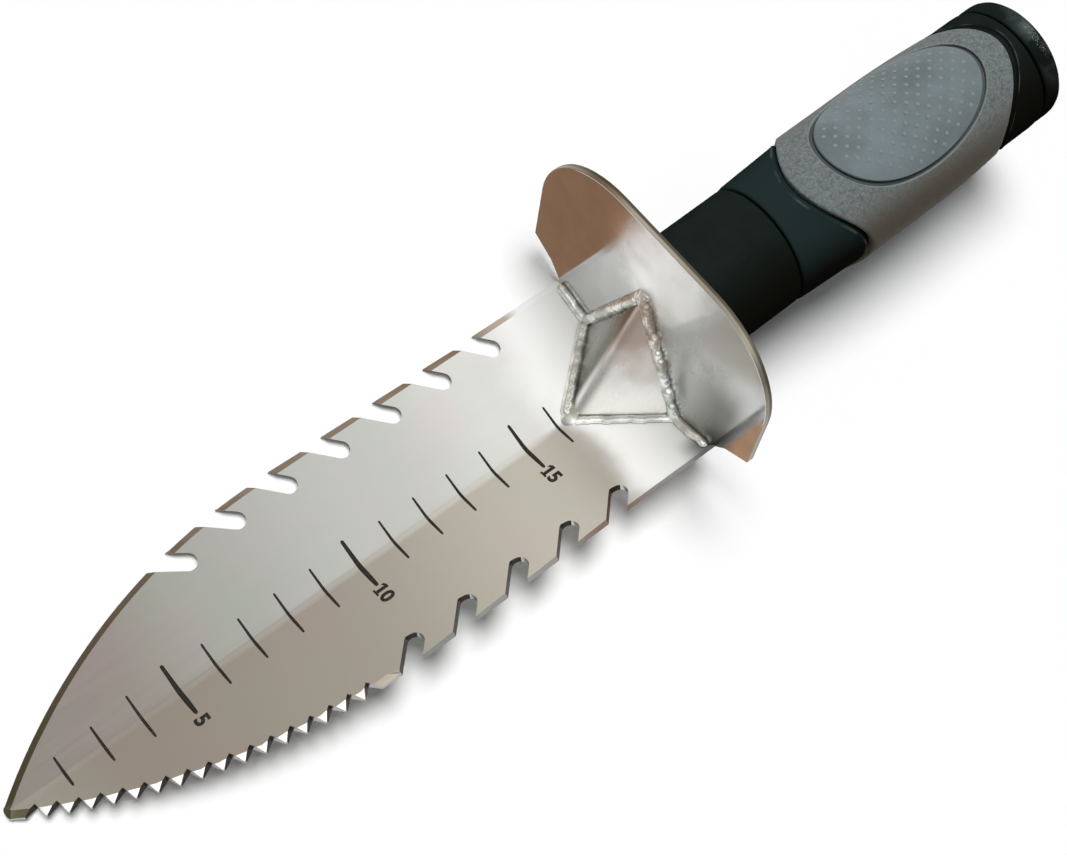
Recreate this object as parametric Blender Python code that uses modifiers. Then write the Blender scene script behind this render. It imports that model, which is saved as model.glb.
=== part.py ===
"""Hori hori digging knife: a folded steel blade, a welded guard and brace, and a two-part grip on a tube.

The knife is drawn with the blade's crease along X, the tip at -X, the guard's front face at x = 0 and the
hollow side of the blade up. The root empty then rolls it onto its left wing, as it lies on a table.
"""

import math

import bmesh
import bpy
from mathutils import Matrix, Vector

# Clearance between neighbouring pieces, in metres like every length below
GAP = 0.0003

# Blade: one sheet, folded along its middle
BLADE_LENGTH = 0.178
LEFT_HALF_WIDTH = 0.030
RIGHT_HALF_WIDTH = 0.029
BLADE_THICKNESS = 0.002
FOLD_ANGLE = math.radians(14.5)
OGIVE_LENGTH = 0.086
TIP_HALF_WIDTH = 0.00075
TIP_LENGTH = 0.0008
BEVEL_WIDTH = 0.0014
BEVEL_DEPTH = 0.0012
HEEL_OVERHANG = 0.0028

# Slanted hook slots along both edges, counted from the guard and set out along the edge
SLOT_WIDTH = 0.0042
SLOT_DEPTH = 0.00515
SLOT_SLANT = math.radians(45)
SLOT_PITCH = 0.0152
SLOT_SETBACK = 0.0298
LEFT_SLOTS = 7
RIGHT_SLOTS = 5

# Fine saw along the right side of the ogive, between two distances from the tip
SAW_START = 0.0040
SAW_END = 0.0778
SAW_PITCH = 0.00487
SAW_DEPTH = 0.0024
SAW_LAND = 0.00035

# Guard plate
GUARD_THICKNESS = 0.002
GUARD_HALF_WIDTH = 0.0392
GUARD_HEIGHT = 0.0598
GUARD_SHOULDER = 0.024
GUARD_NECK_INSET = 0.0012
GUARD_LOBE_RISE = 0.0090
GUARD_LOBE_STEP = (0.0045, 0.0052)

# Brace: a plate folded over the crease in front of the guard
BRACE_LENGTH = 0.0195
BRACE_HEIGHT = 0.0358
BRACE_HALF_WIDTH = 0.0166
BRACE_TOP_SHIFT = 0.0022
BRACE_THICKNESS = 0.002

# Weld beads
BEAD_RADIUS = 0.0019
BEAD_SETBACK = 0.0025
TUBE_BEAD_LEG = 0.0025

# Handle: a tube, and sleeves built up on it
HANDLE_HEIGHT = 0.0238
HANDLE_RISE = math.radians(5.1)
TUBE_RADIUS = 0.010
TUBE_WALL = 0.0015
COLLAR_WALL = 0.0059
COLLAR_LENGTH = 0.034
RING_GROOVE = 0.0006
CORE_WALL = 0.0052
BAND_FRONT_LENGTH = 0.0087
BAND_FRONT_STEP = 0.0009
BAND_SWELL = 0.0009
BAND_REAR_LENGTH = 0.0043
BAND_REAR_STEP = 0.0013
OVERMOULD_LENGTH = 0.0674
OVERMOULD_WALL = 0.0024
OVERMOULD_DROP = 0.0011
OVERMOULD_EDGE = 0.0006
FRONT_WAVE = 0.0127
REAR_WAVE = 0.0104
SLEEVE_ROUNDING = 0.0006

# Oval pads in the overmould, set back from its front edge and turned a little towards the left wing, their
# half width measured round the grip
PAD_SETBACK = 0.0347
PAD_TURN = math.radians(2.8)
PAD_HALF_LENGTH = 0.0238
PAD_HALF_WIDTH = 0.0162
PAD_GROOVE = 0.0012
PAD_PROUD = 0.0002

# End cap
CAP_LENGTH = 0.0062
CAP_ROUNDING = 0.0030
CAP_STEP = 0.0011
SPIGOT_LENGTH = 0.018

# How finely curves are drawn
ARC_STEPS = 26
SLOT_END_STEPS = 10
TIP_STEPS = 4
SHOULDER_STEPS = 14
TURN_STEPS = 64
PAD_STEPS = 48
CROWN_STEPS = 8
CAP_STEPS = 6
BEAD_RESOLUTION = 3
CUTTER_REACH = 0.010
MERGE_DISTANCE = 0.000001
FLAT_ANGLE = math.radians(0.1)
SMOOTH_ANGLE = math.radians(30)

# Sizes that follow from the ones above
TAN_FOLD = math.tan(FOLD_ANGLE)
COS_FOLD = math.cos(FOLD_ANGLE)
SIN_FOLD = math.sin(FOLD_ANGLE)
GUARD_REAR = GUARD_THICKNESS + GAP
BORE_RADIUS = TUBE_RADIUS + GAP
COLLAR_RADIUS = BORE_RADIUS + COLLAR_WALL
CORE_RADIUS = BORE_RADIUS + CORE_WALL
OVERMOULD_BORE = CORE_RADIUS + GAP
OVERMOULD_RADIUS = OVERMOULD_BORE + OVERMOULD_WALL
TUBE_BEAD_RADIUS = BORE_RADIUS + TUBE_BEAD_LEG
TUBE_BEAD_TOP = GAP + TUBE_BEAD_LEG
GRIP_START = COLLAR_LENGTH + RING_GROOVE
OVERMOULD_START = GRIP_START + BAND_FRONT_LENGTH
OVERMOULD_END = OVERMOULD_START + OVERMOULD_LENGTH
PAD_CENTRE = OVERMOULD_START + PAD_SETBACK
GRIP_END = OVERMOULD_END + BAND_REAR_LENGTH
CAP_START = GRIP_END + RING_GROOVE
CAP_RADIUS = CORE_RADIUS + CAP_STEP


def clear_scene():
    for thing in list(bpy.data.objects):
        bpy.data.objects.remove(thing)


def new_collection(name):
    collection = bpy.data.collections.new(name)
    bpy.context.scene.collection.children.link(collection)
    return collection


clear_scene()
PARTS = new_collection("hori_hori_knife")
CUTTERS = new_collection("cutters")


def new_empty(name, parent=None):
    empty = bpy.data.objects.new(name, None)
    PARTS.objects.link(empty)
    empty.parent = parent
    return empty


def new_object(name, mesh, parent, collection=PARTS):
    thing = bpy.data.objects.new(name, mesh)
    thing.parent = parent
    collection.objects.link(thing)
    return thing


def baked(source):
    """Replaces an object by a mesh object of what its curve or modifiers make."""
    bpy.context.view_layer.update()
    graph = bpy.context.evaluated_depsgraph_get()
    mesh = bpy.data.meshes.new_from_object(source.evaluated_get(graph))
    name, parent, collection = source.name, source.parent, source.users_collection[0]
    bpy.data.objects.remove(source)
    shape = bmesh.new()
    shape.from_mesh(mesh)
    bmesh.ops.remove_doubles(shape, verts=shape.verts, dist=MERGE_DISTANCE)
    bmesh.ops.recalc_face_normals(shape, faces=shape.faces)
    shape.to_mesh(mesh)
    shape.free()
    return new_object(name, mesh, parent, collection)


def plate(name, outline, low, high, parent, collection=PARTS):
    """A flat plate in XY with this outline, from z = low to z = high."""
    curve = bpy.data.curves.new(name, "CURVE")
    curve.dimensions = "2D"
    curve.fill_mode = "BOTH"
    curve.extrude = (high - low) / 2
    spline = curve.splines.new("POLY")
    spline.points.add(len(outline) - 1)
    for point, (x, y) in zip(spline.points, outline):
        point.co = (x, y, 0, 1)
    spline.use_cyclic_u = True
    solid = baked(new_object(name, curve, parent, collection))
    shape = bmesh.new()
    shape.from_mesh(solid.data)
    bmesh.ops.dissolve_limit(shape, angle_limit=FLAT_ANGLE, verts=shape.verts, edges=shape.edges)
    bmesh.ops.translate(shape, vec=(0, 0, (low + high) / 2), verts=shape.verts)
    shape.to_mesh(solid.data)
    shape.free()
    return solid


def hull(name, corners, parent, collection=PARTS):
    """The convex solid that these corner points span."""
    shape = bmesh.new()
    verts = [shape.verts.new(corner) for corner in corners]
    bmesh.ops.convex_hull(shape, input=verts)
    mesh = bpy.data.meshes.new(name)
    shape.to_mesh(mesh)
    shape.free()
    return new_object(name, mesh, parent, collection)


def block(name, low, high, parent):
    """A box-shaped cutter between two corners."""
    shape = bmesh.new()
    bmesh.ops.create_cube(shape, size=1)
    size = Vector(high) - Vector(low)
    middle = (Vector(high) + Vector(low)) / 2
    shape.transform(Matrix.Translation(middle) @ Matrix.Diagonal((*size, 1)))
    mesh = bpy.data.meshes.new(name)
    shape.to_mesh(mesh)
    shape.free()
    return hidden(new_object(name, mesh, parent, CUTTERS))


def turned(name, profile, parent, collection=PARTS):
    """A solid turned about Z from (radius, z) points that run down its outer side and up its bore."""
    mesh = bpy.data.meshes.new(name)
    count = len(profile)
    on_axis = profile[0][0] == 0
    edges = [(i, (i + 1) % count) for i in range(count - on_axis)]
    mesh.from_pydata([(radius, 0, z) for radius, z in profile], edges, [])
    solid = new_object(name, mesh, parent, collection)
    screw = solid.modifiers.new("turn", "SCREW")
    screw.axis = "Z"
    screw.steps = TURN_STEPS
    screw.render_steps = TURN_STEPS
    screw.use_merge_vertices = True
    screw.merge_threshold = MERGE_DISTANCE
    return baked(solid)


def bead(name, route, parent):
    """A round weld bead of full length along these points, before it is trimmed to its corner."""
    curve = bpy.data.curves.new(name, "CURVE")
    curve.dimensions = "3D"
    curve.bevel_depth = BEAD_RADIUS
    curve.bevel_resolution = BEAD_RESOLUTION
    curve.use_fill_caps = True
    spline = curve.splines.new("POLY")
    spline.points.add(len(route) - 1)
    for point, place in zip(spline.points, route):
        point.co = (*place, 1)
    return baked(new_object(name, curve, parent))


def hidden(cutter):
    cutter.hide_render = True
    cutter.display_type = "WIRE"
    return cutter


def cut(solid, cutter, operation="DIFFERENCE"):
    modifier = solid.modifiers.new(cutter.name, "BOOLEAN")
    modifier.operation = operation
    modifier.object = cutter


def joined(name, solids):
    """One cutter object from several separate solids."""
    shape = bmesh.new()
    parent = solids[0].parent
    for solid in solids:
        shape.from_mesh(solid.data)
        bpy.data.objects.remove(solid)
    mesh = bpy.data.meshes.new(name)
    shape.to_mesh(mesh)
    shape.free()
    return hidden(new_object(name, mesh, parent, CUTTERS))


def finish(solid, colour, roughness, metallic):
    """Gives a part its own material, and smooth shading on its round faces."""
    material = bpy.data.materials.new(solid.name)
    material.use_nodes = True
    shader = material.node_tree.nodes["Principled BSDF"]
    shader.inputs["Base Color"].default_value = (*colour, 1)
    shader.inputs["Roughness"].default_value = roughness
    shader.inputs["Metallic"].default_value = metallic
    solid.data.materials.clear()
    solid.data.materials.append(material)
    solid.data.shade_smooth()
    solid.data.set_sharp_from_angle(angle=SMOOTH_ANGLE)


SATIN_STEEL = ((0.62, 0.61, 0.60), 0.35, 1.0)
POLISHED_STEEL = ((0.72, 0.70, 0.68), 0.18, 1.0)
BEAD_STEEL = ((0.75, 0.73, 0.70), 0.25, 1.0)
BLACK_RUBBER = ((0.012, 0.014, 0.015), 0.55, 0.0)
GREY_RUBBER = ((0.21, 0.22, 0.22), 0.75, 0.0)
PAD_RUBBER = ((0.20, 0.23, 0.24), 0.50, 0.0)

ROOT = new_empty("knife")
HANDLE = new_empty("handle_axis", ROOT)
HANDLE.location = (GUARD_THICKNESS, 0, HANDLE_HEIGHT)
HANDLE.rotation_euler = (0, math.pi / 2 - HANDLE_RISE, 0)


# Blade

def ogive_radius(half_width):
    """Radius of the arc that starts along a parallel edge and ends beside the tip."""
    drop = half_width - TIP_HALF_WIDTH
    return (OGIVE_LENGTH**2 + drop**2) / (2 * drop)


def ogive_angle(distance, half_width):
    """Angle along the ogive's arc, from where it meets the parallel edge, for a distance from the tip."""
    return math.asin((OGIVE_LENGTH - distance) / ogive_radius(half_width))


def ogive_point(angle, half_width, inset=0.0):
    """A point of the arc in the flat blank, as (x, distance from the crease)."""
    radius = ogive_radius(half_width)
    x = OGIVE_LENGTH - BLADE_LENGTH - (radius - inset) * math.sin(angle)
    return x, half_width - radius + (radius - inset) * math.cos(angle)


def edge_place(distance, half_width):
    """The point (x, distance from the crease) and the slope of an edge at a distance along it from the guard."""
    straight = BLADE_LENGTH - OGIVE_LENGTH
    if distance <= straight:
        return Vector((-distance, half_width)), 0.0
    angle = (distance - straight) / ogive_radius(half_width)
    return Vector(ogive_point(angle, half_width)), angle


def blank_side(half_width, inset=0.0, heel_inset=0.0):
    """One side of the blank from the tip to the heel, drawn in along its ogive and along its parallel edge."""
    start = ogive_angle(TIP_LENGTH, half_width)
    first_x, first_w = ogive_point(start, half_width, inset)
    tip_x = -BLADE_LENGTH + inset
    points = [(tip_x, 0.0)]
    for step in range(1, TIP_STEPS):
        turn = math.pi / 2 * step / TIP_STEPS
        points.append((first_x - (first_x - tip_x) * math.cos(turn), first_w * math.sin(turn)))
    points += [ogive_point(start * (1 - step / ARC_STEPS), half_width, inset) for step in range(ARC_STEPS)]
    points.append((OGIVE_LENGTH - BLADE_LENGTH, half_width - heel_inset))
    points.append((GUARD_THICKNESS + HEEL_OVERHANG, half_width - heel_inset))
    return points


def whole_outline(left, right):
    return left + [(x, -w) for x, w in reversed(right[1:])]


def blank():
    """The flat sheet, upper face at z = 0. Its upper edges are ground to a bevel, but for the right parallel one."""
    outline = whole_outline(blank_side(LEFT_HALF_WIDTH), blank_side(RIGHT_HALF_WIDTH))
    left = blank_side(LEFT_HALF_WIDTH, BEVEL_WIDTH, BEVEL_WIDTH)
    drawn_in = whole_outline(left, blank_side(RIGHT_HALF_WIDTH, BEVEL_WIDTH))
    sheet = plate("blade", outline, -BLADE_THICKNESS, 0, ROOT)
    shape = bmesh.new()
    shape.from_mesh(sheet.data)
    everything = shape.verts[:] + shape.edges[:] + shape.faces[:]
    bmesh.ops.bisect_plane(shape, geom=everything, plane_co=(0, 0, -BEVEL_DEPTH), plane_no=(0, 0, 1))
    for vert in shape.verts:
        if vert.co.z > -BEVEL_DEPTH / 2:
            nearest = min(range(len(outline)), key=lambda i: (Vector(outline[i]) - vert.co.xy).length)
            vert.co.x, vert.co.y = drawn_in[nearest]
    shape.to_mesh(sheet.data)
    shape.free()
    return sheet


def hook_slots(side, count):
    """Slot cutters for one edge: straight slots with round ends that slant in towards the guard."""
    half = SLOT_WIDTH / 2
    length = SLOT_DEPTH / math.cos(SLOT_SLANT)
    slots = []
    for number in range(count):
        middle, slope = edge_place(SLOT_SETBACK + number * SLOT_PITCH, LEFT_HALF_WIDTH)
        slant = SLOT_SLANT + slope
        outward = Vector((-math.sin(slant), math.cos(slant)))
        across = Vector((math.cos(slant), math.sin(slant)))
        centre = middle - outward * length
        mouth = middle + outward * CUTTER_REACH
        outline = [mouth - across * half, mouth + across * half]
        for step in range(SLOT_END_STEPS + 1):
            turn = math.pi * step / SLOT_END_STEPS
            outline.append(centre + across * (half * math.cos(turn)) - outward * (half * math.sin(turn)))
        points = [(point.x, side * point.y) for point in outline]
        low, high = -BLADE_THICKNESS - CUTTER_REACH, CUTTER_REACH
        slots.append(plate(f"slot_{number}", points, low, high, ROOT, CUTTERS))
    return slots


def saw_notches():
    """Notch cutters for the fine saw."""
    half = (SAW_PITCH - SAW_LAND) / 2
    outline = [(0, 0), (half, SAW_DEPTH), (half, CUTTER_REACH), (-half, CUTTER_REACH), (-half, SAW_DEPTH)]
    first = ogive_angle(SAW_END, RIGHT_HALF_WIDTH)
    turn = SAW_PITCH / ogive_radius(RIGHT_HALF_WIDTH)
    notches = []
    for number in range(1 + int((ogive_angle(SAW_START, RIGHT_HALF_WIDTH) - first) / turn)):
        angle = first + number * turn
        x, half_width = ogive_point(angle, RIGHT_HALF_WIDTH, SAW_DEPTH)
        notch = plate(f"notch_{number}", outline, -2 * BLADE_THICKNESS, BLADE_THICKNESS, ROOT, CUTTERS)
        notch.data.transform(Matrix.Translation((x, -half_width, 0)) @ Matrix.Rotation(math.pi - angle, 4, "Z"))
        notches.append(notch)
    return notches


def fold(sheet):
    """Folds the flat sheet along y = 0: both wings rise, and the upper crease stays at z = 0."""
    shape = bmesh.new()
    shape.from_mesh(sheet.data)
    everything = shape.verts[:] + shape.edges[:] + shape.faces[:]
    tolerance = MERGE_DISTANCE / 10
    bmesh.ops.bisect_plane(shape, geom=everything, dist=tolerance, plane_co=(0, 0, 0), plane_no=(0, 1, 0))
    for vert in shape.verts:
        across, depth = vert.co.y, vert.co.z
        if abs(across) < MERGE_DISTANCE:
            vert.co.y = 0
            vert.co.z = depth / COS_FOLD
            continue
        side = math.copysign(1, across)
        vert.co.y = across * COS_FOLD - side * depth * SIN_FOLD
        vert.co.z = abs(across) * SIN_FOLD + depth * COS_FOLD
    shape.to_mesh(sheet.data)
    shape.free()


def make_blade():
    sheet = blank()
    cut(sheet, joined("hook_slots", hook_slots(1, LEFT_SLOTS) + hook_slots(-1, RIGHT_SLOTS)))
    cut(sheet, joined("saw_notches", saw_notches()))
    blade = baked(sheet)
    fold(blade)
    finish(blade, *SATIN_STEEL)


# Guard

def guard_side():
    """Half outline of the guard as (y, z), from the blade's edge round the lobe to the top."""
    neck = LEFT_HALF_WIDTH * COS_FOLD - GUARD_NECK_INSET
    neck_height = neck * TAN_FOLD + GAP / COS_FOLD
    step_out, step_up = GUARD_LOBE_STEP
    points = [
        (neck, neck_height),
        (neck + step_out, neck_height + step_up),
        (GUARD_HALF_WIDTH, neck_height + GUARD_LOBE_RISE),
    ]
    centre = Vector((GUARD_HALF_WIDTH - GUARD_SHOULDER, GUARD_HEIGHT - GUARD_SHOULDER))
    for step in range(SHOULDER_STEPS + 1):
        turn = math.pi / 2 * step / SHOULDER_STEPS
        corner = centre + GUARD_SHOULDER * Vector((math.cos(turn), math.sin(turn)))
        points.append((corner.x, corner.y))
    return points


def make_guard():
    side = guard_side()
    outline = [(0.0, GAP / COS_FOLD)] + side + [(-y, z) for y, z in reversed(side)]
    guard = plate("guard", outline, 0, GUARD_THICKNESS, ROOT)
    # The outline's plane (y, z) stands up across the blade, with the thickness running along +X
    guard.data.transform(Matrix(((0, 0, 1, 0), (1, 0, 0, 0), (0, 1, 0, 0), (0, 0, 0, 1))))
    finish(guard, *POLISHED_STEEL)


# Brace and the clearance solids that trim the weld beads

BRACE_BASE = Vector((-GAP, 0, GAP / COS_FOLD))
BRACE_FRONT = Vector((-BRACE_LENGTH, 0, 0))
BRACE_TOP = Vector((0, BRACE_TOP_SHIFT, BRACE_HEIGHT))
BRACE_LEFT = Vector((0, BRACE_HALF_WIDTH, BRACE_HALF_WIDTH * TAN_FOLD))
BRACE_RIGHT = Vector((0, -BRACE_HALF_WIDTH, BRACE_HALF_WIDTH * TAN_FOLD))
BRACE_CORNERS = (BRACE_FRONT, BRACE_LEFT, BRACE_RIGHT, BRACE_TOP)


def brace_shrunk(wall):
    """The brace's four corners with its outer faces moved in by wall, measured from its base corner."""
    normal = (BRACE_LEFT - BRACE_FRONT).cross(BRACE_TOP - BRACE_FRONT).normalized()
    depth = abs(normal.dot(BRACE_FRONT))
    share = (depth - wall) / depth
    return [BRACE_BASE + corner * share for corner in BRACE_CORNERS]


def make_brace():
    brace = hull("brace", [BRACE_BASE] + brace_shrunk(0), ROOT)
    beyond = Vector((CUTTER_REACH, 0, -CUTTER_REACH))
    cut(brace, hidden(hull("brace_hollow", [beyond] + brace_shrunk(BRACE_THICKNESS), ROOT, CUTTERS)))
    finish(brace, *POLISHED_STEEL)


def make_weld_clearances():
    """Solids a little larger than the blade, the guard and the brace, which the beads are trimmed by."""
    reach = LEFT_HALF_WIDTH + CUTTER_REACH
    over = GAP / COS_FOLD
    rise = over + reach * TAN_FOLD
    valley = [(0, over), (reach, rise), (reach, -CUTTER_REACH), (-reach, -CUTTER_REACH), (-reach, rise)]
    blade_clear = plate("blade_clear", valley, -BLADE_LENGTH, BLADE_LENGTH, ROOT, CUTTERS)
    blade_clear.data.transform(Matrix(((0, 0, 1, 0), (1, 0, 0, 0), (0, 1, 0, 0), (0, 0, 0, 1))))
    brace_clear = hull("brace_clear", [Vector((GAP, 0, -GAP))] + brace_shrunk(-2 * GAP), ROOT, CUTTERS)
    wide = 2 * GUARD_HALF_WIDTH
    high = 2 * GUARD_HEIGHT
    length = BLADE_LENGTH
    half = GAP / 2
    return {
        "blade": hidden(blade_clear),
        "brace": hidden(brace_clear),
        "guard_front": block("guard_front", (-GAP, -wide, -high), (CUTTER_REACH, wide, high), ROOT),
        "guard_rear": block("guard_rear", (-CUTTER_REACH, -wide, -high), (GUARD_REAR, wide, high), ROOT),
        "left": block("left_half", (-length, -half, -high), (length, wide, high), ROOT),
        "right": block("right_half", (-length, -wide, -high), (length, half, high), ROOT),
    }


def make_welds(clear):
    neck = guard_side()[0]
    for name, side, foot in (("left", 1, BRACE_LEFT), ("right", -1, BRACE_RIGHT)):
        other_half = clear["right" if side == 1 else "left"]
        along = (foot - BRACE_FRONT).normalized()
        up = (BRACE_TOP - foot).normalized()
        over = 2 * BEAD_RADIUS
        route = (BRACE_FRONT - along * over, foot - along * BEAD_SETBACK)
        on_blade = bead(f"brace_weld_blade_{name}", route, ROOT)
        on_guard = bead(f"brace_weld_guard_{name}", (foot + up * GAP, BRACE_TOP + up * over), ROOT)
        corner = Vector((0, side * neck[0], neck[0] * TAN_FOLD))
        out = (corner - foot).normalized()
        seam = bead(f"seam_weld_{name}", (foot + out * 2 * BEAD_SETBACK, corner), ROOT)
        for weld in (on_blade, on_guard, seam):
            cut(weld, clear["blade"])
            cut(weld, clear["guard_front"])
        for weld in (on_blade, on_guard):
            cut(weld, clear["brace"])
            cut(weld, other_half)
        for weld in (on_blade, on_guard, seam):
            finish(weld, *BEAD_STEEL)


def make_rear_weld(clear):
    """The bead behind the guard, which follows the blade's valley from edge to edge."""
    reach = guard_side()[0][0]
    rise = reach * TAN_FOLD
    route = [(GUARD_THICKNESS, reach, rise), (GUARD_THICKNESS, 0, 0), (GUARD_THICKNESS, -reach, rise)]
    weld = bead("seam_weld_rear", route, ROOT)
    cut(weld, clear["blade"])
    cut(weld, clear["guard_rear"])
    finish(weld, *BEAD_STEEL)


# Handle, turned about its own Z axis from the guard's rear face outwards

def make_tube(clear):
    start = -TUBE_RADIUS * math.tan(HANDLE_RISE) - GAP
    inner = TUBE_RADIUS - TUBE_WALL
    outline = [(TUBE_RADIUS, GRIP_END), (TUBE_RADIUS, start), (inner, start), (inner, GRIP_END)]
    tube = turned("handle_tube", outline, HANDLE)
    cut(tube, clear["guard_rear"])
    finish(tube, *SATIN_STEEL)
    start = -TUBE_BEAD_RADIUS * math.tan(HANDLE_RISE) - GAP
    ring = [
        (BORE_RADIUS, TUBE_BEAD_TOP),
        (TUBE_BEAD_RADIUS, GAP),
        (TUBE_BEAD_RADIUS, start),
        (BORE_RADIUS, start),
    ]
    weld = turned("tube_weld", ring, HANDLE)
    cut(weld, clear["guard_rear"])
    finish(weld, *BEAD_STEEL)


def make_collar(clear):
    start = -COLLAR_RADIUS * math.tan(HANDLE_RISE) - GAP
    recess = TUBE_BEAD_TOP + GAP
    recess_radius = TUBE_BEAD_RADIUS + GAP
    outline = [
        (COLLAR_RADIUS - SLEEVE_ROUNDING, COLLAR_LENGTH),
        (COLLAR_RADIUS, COLLAR_LENGTH - SLEEVE_ROUNDING),
        (COLLAR_RADIUS, start),
        (recess_radius, start),
        (recess_radius, recess),
        (BORE_RADIUS, recess),
        (BORE_RADIUS, COLLAR_LENGTH),
    ]
    collar = turned("front_collar", outline, HANDLE)
    cut(collar, clear["guard_rear"])
    finish(collar, *BLACK_RUBBER)


def ramp(value, start, end):
    return min(1.0, max(0.0, (value - start) / (end - start)))


def wave(solid):
    """Draws the overmould's ends, and the core's steps beside them, into two lobes above and below."""
    for vert in solid.data.vertices:
        z = vert.co.z
        sideways = vert.co.y**2 / (vert.co.x**2 + vert.co.y**2)
        front = ramp(z, GRIP_START, OVERMOULD_START - GAP) * ramp(z, PAD_CENTRE, OVERMOULD_START)
        rear = ramp(z, GRIP_END, OVERMOULD_END + GAP) * ramp(z, PAD_CENTRE, OVERMOULD_END)
        vert.co.z = z + sideways * (FRONT_WAVE * front - REAR_WAVE * rear)


def crown(z):
    """Outer radius of the overmould: full at the front and drawn in towards the butt."""
    return OVERMOULD_RADIUS - OVERMOULD_DROP * ramp(z, PAD_CENTRE, OVERMOULD_END) ** 2


def make_core():
    front_low = CORE_RADIUS + BAND_FRONT_STEP
    front_high = front_low + BAND_SWELL
    rear = CORE_RADIUS + BAND_REAR_STEP
    outline = [
        (rear - SLEEVE_ROUNDING, GRIP_END),
        (rear, GRIP_END - SLEEVE_ROUNDING),
        (rear, OVERMOULD_END + GAP),
        (CORE_RADIUS, OVERMOULD_END + GAP),
        (CORE_RADIUS, OVERMOULD_START - GAP),
        (front_high, OVERMOULD_START - GAP),
        ((front_low + front_high) / 2, (GRIP_START + OVERMOULD_START) / 2),
        (front_low, GRIP_START + SLEEVE_ROUNDING),
        (front_low - SLEEVE_ROUNDING, GRIP_START),
        (BORE_RADIUS, GRIP_START),
        (BORE_RADIUS, GRIP_END),
    ]
    core = turned("grip_core", outline, HANDLE)
    wave(core)
    finish(core, *BLACK_RUBBER)


def crowned_sleeve(name, start, end, proud, edge):
    """A turned sleeve that follows the overmould's crown, with its ends rounded over by edge."""
    outline = [(crown(end) + proud - edge, end)]
    for ring in range(CROWN_STEPS + 1):
        z = end - edge + (start - end + 2 * edge) * ring / CROWN_STEPS
        outline.append((crown(z) + proud, z))
    outline += [(crown(start) + proud - edge, start), (OVERMOULD_BORE, start), (OVERMOULD_BORE, end)]
    return turned(name, outline, HANDLE)


def pad_prism(name, grow, side):
    """An oval cutter seen from above the grip (side 1) or below it (side -1)."""
    outline = []
    for step in range(PAD_STEPS):
        turn = 2 * math.pi * step / PAD_STEPS
        round_grip = (PAD_HALF_WIDTH + grow) * math.sin(turn) / OVERMOULD_RADIUS
        along = PAD_CENTRE + (PAD_HALF_LENGTH + grow) * math.cos(turn)
        outline.append((along, OVERMOULD_RADIUS * math.sin(round_grip)))
    prism = plate(name, outline, BORE_RADIUS / 2, 2 * OVERMOULD_RADIUS, HANDLE, CUTTERS)
    # The oval's plane (z, y) lies along the grip, and its depth runs out through the chosen side
    stand = Matrix(((0, 0, -side, 0), (0, side, 0, 0), (1, 0, 0, 0), (0, 0, 0, 1)))
    prism.data.transform(Matrix.Rotation(-PAD_TURN, 4, "Z") @ stand)
    return hidden(prism)


def make_overmould():
    shell = crowned_sleeve("grip_overmould", OVERMOULD_START, OVERMOULD_END, 0, OVERMOULD_EDGE)
    wave(shell)
    for name, side in (("top", 1), ("bottom", -1)):
        cut(shell, pad_prism(f"pocket_{name}", PAD_GROOVE, side))
        pad = crowned_sleeve(f"pad_{name}", OVERMOULD_START, OVERMOULD_END, PAD_PROUD, OVERMOULD_EDGE)
        cut(pad, pad_prism(f"oval_{name}", 0, side), "INTERSECT")
        finish(pad, *PAD_RUBBER)
    finish(shell, *GREY_RUBBER)


def make_cap():
    end = CAP_START + CAP_LENGTH
    spigot = TUBE_RADIUS - TUBE_WALL - GAP
    rounding = [
        (CAP_RADIUS - CAP_ROUNDING * (1 - math.cos(turn)), end - CAP_ROUNDING * (1 - math.sin(turn)))
        for turn in (math.pi / 2 * step / CAP_STEPS for step in range(CAP_STEPS, -1, -1))
    ]
    outline = [(0, end)] + rounding
    outline += [
        (CAP_RADIUS, CAP_START + SLEEVE_ROUNDING),
        (CAP_RADIUS - SLEEVE_ROUNDING, CAP_START),
        (spigot, CAP_START),
        (spigot, CAP_START - SPIGOT_LENGTH),
        (0, CAP_START - SPIGOT_LENGTH),
    ]
    finish(turned("end_cap", outline, HANDLE), *BLACK_RUBBER)


def lay_down():
    """Rolls the knife onto its left wing and puts the origin under the middle of its bounding box."""
    ROOT.rotation_euler = (-FOLD_ANGLE, 0, 0)
    bpy.context.view_layer.update()
    graph = bpy.context.evaluated_depsgraph_get()
    corners = []
    for part in PARTS.objects:
        if part.type == "MESH":
            shown = part.evaluated_get(graph)
            corners += [shown.matrix_world @ vert.co for vert in shown.data.vertices]
    low = [min(corner[axis] for corner in corners) for axis in range(3)]
    high = [max(corner[axis] for corner in corners) for axis in range(3)]
    ROOT.location = (-(low[0] + high[0]) / 2, -(low[1] + high[1]) / 2, -low[2])


def main():
    make_blade()
    make_guard()
    make_brace()
    clear = make_weld_clearances()
    make_welds(clear)
    make_rear_weld(clear)
    make_tube(clear)
    make_collar(clear)
    make_core()
    make_overmould()
    make_cap()
    lay_down()


main()
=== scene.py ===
"""Looks of a hori hori digging knife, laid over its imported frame. Lengths are in metres."""

import contextlib
import random
import bmesh
import bpy
from math import acos, atan2, copysign, cos, hypot, pi, radians, remainder, sin, sqrt, tan, tau
from mathutils import Matrix, Vector


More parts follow.
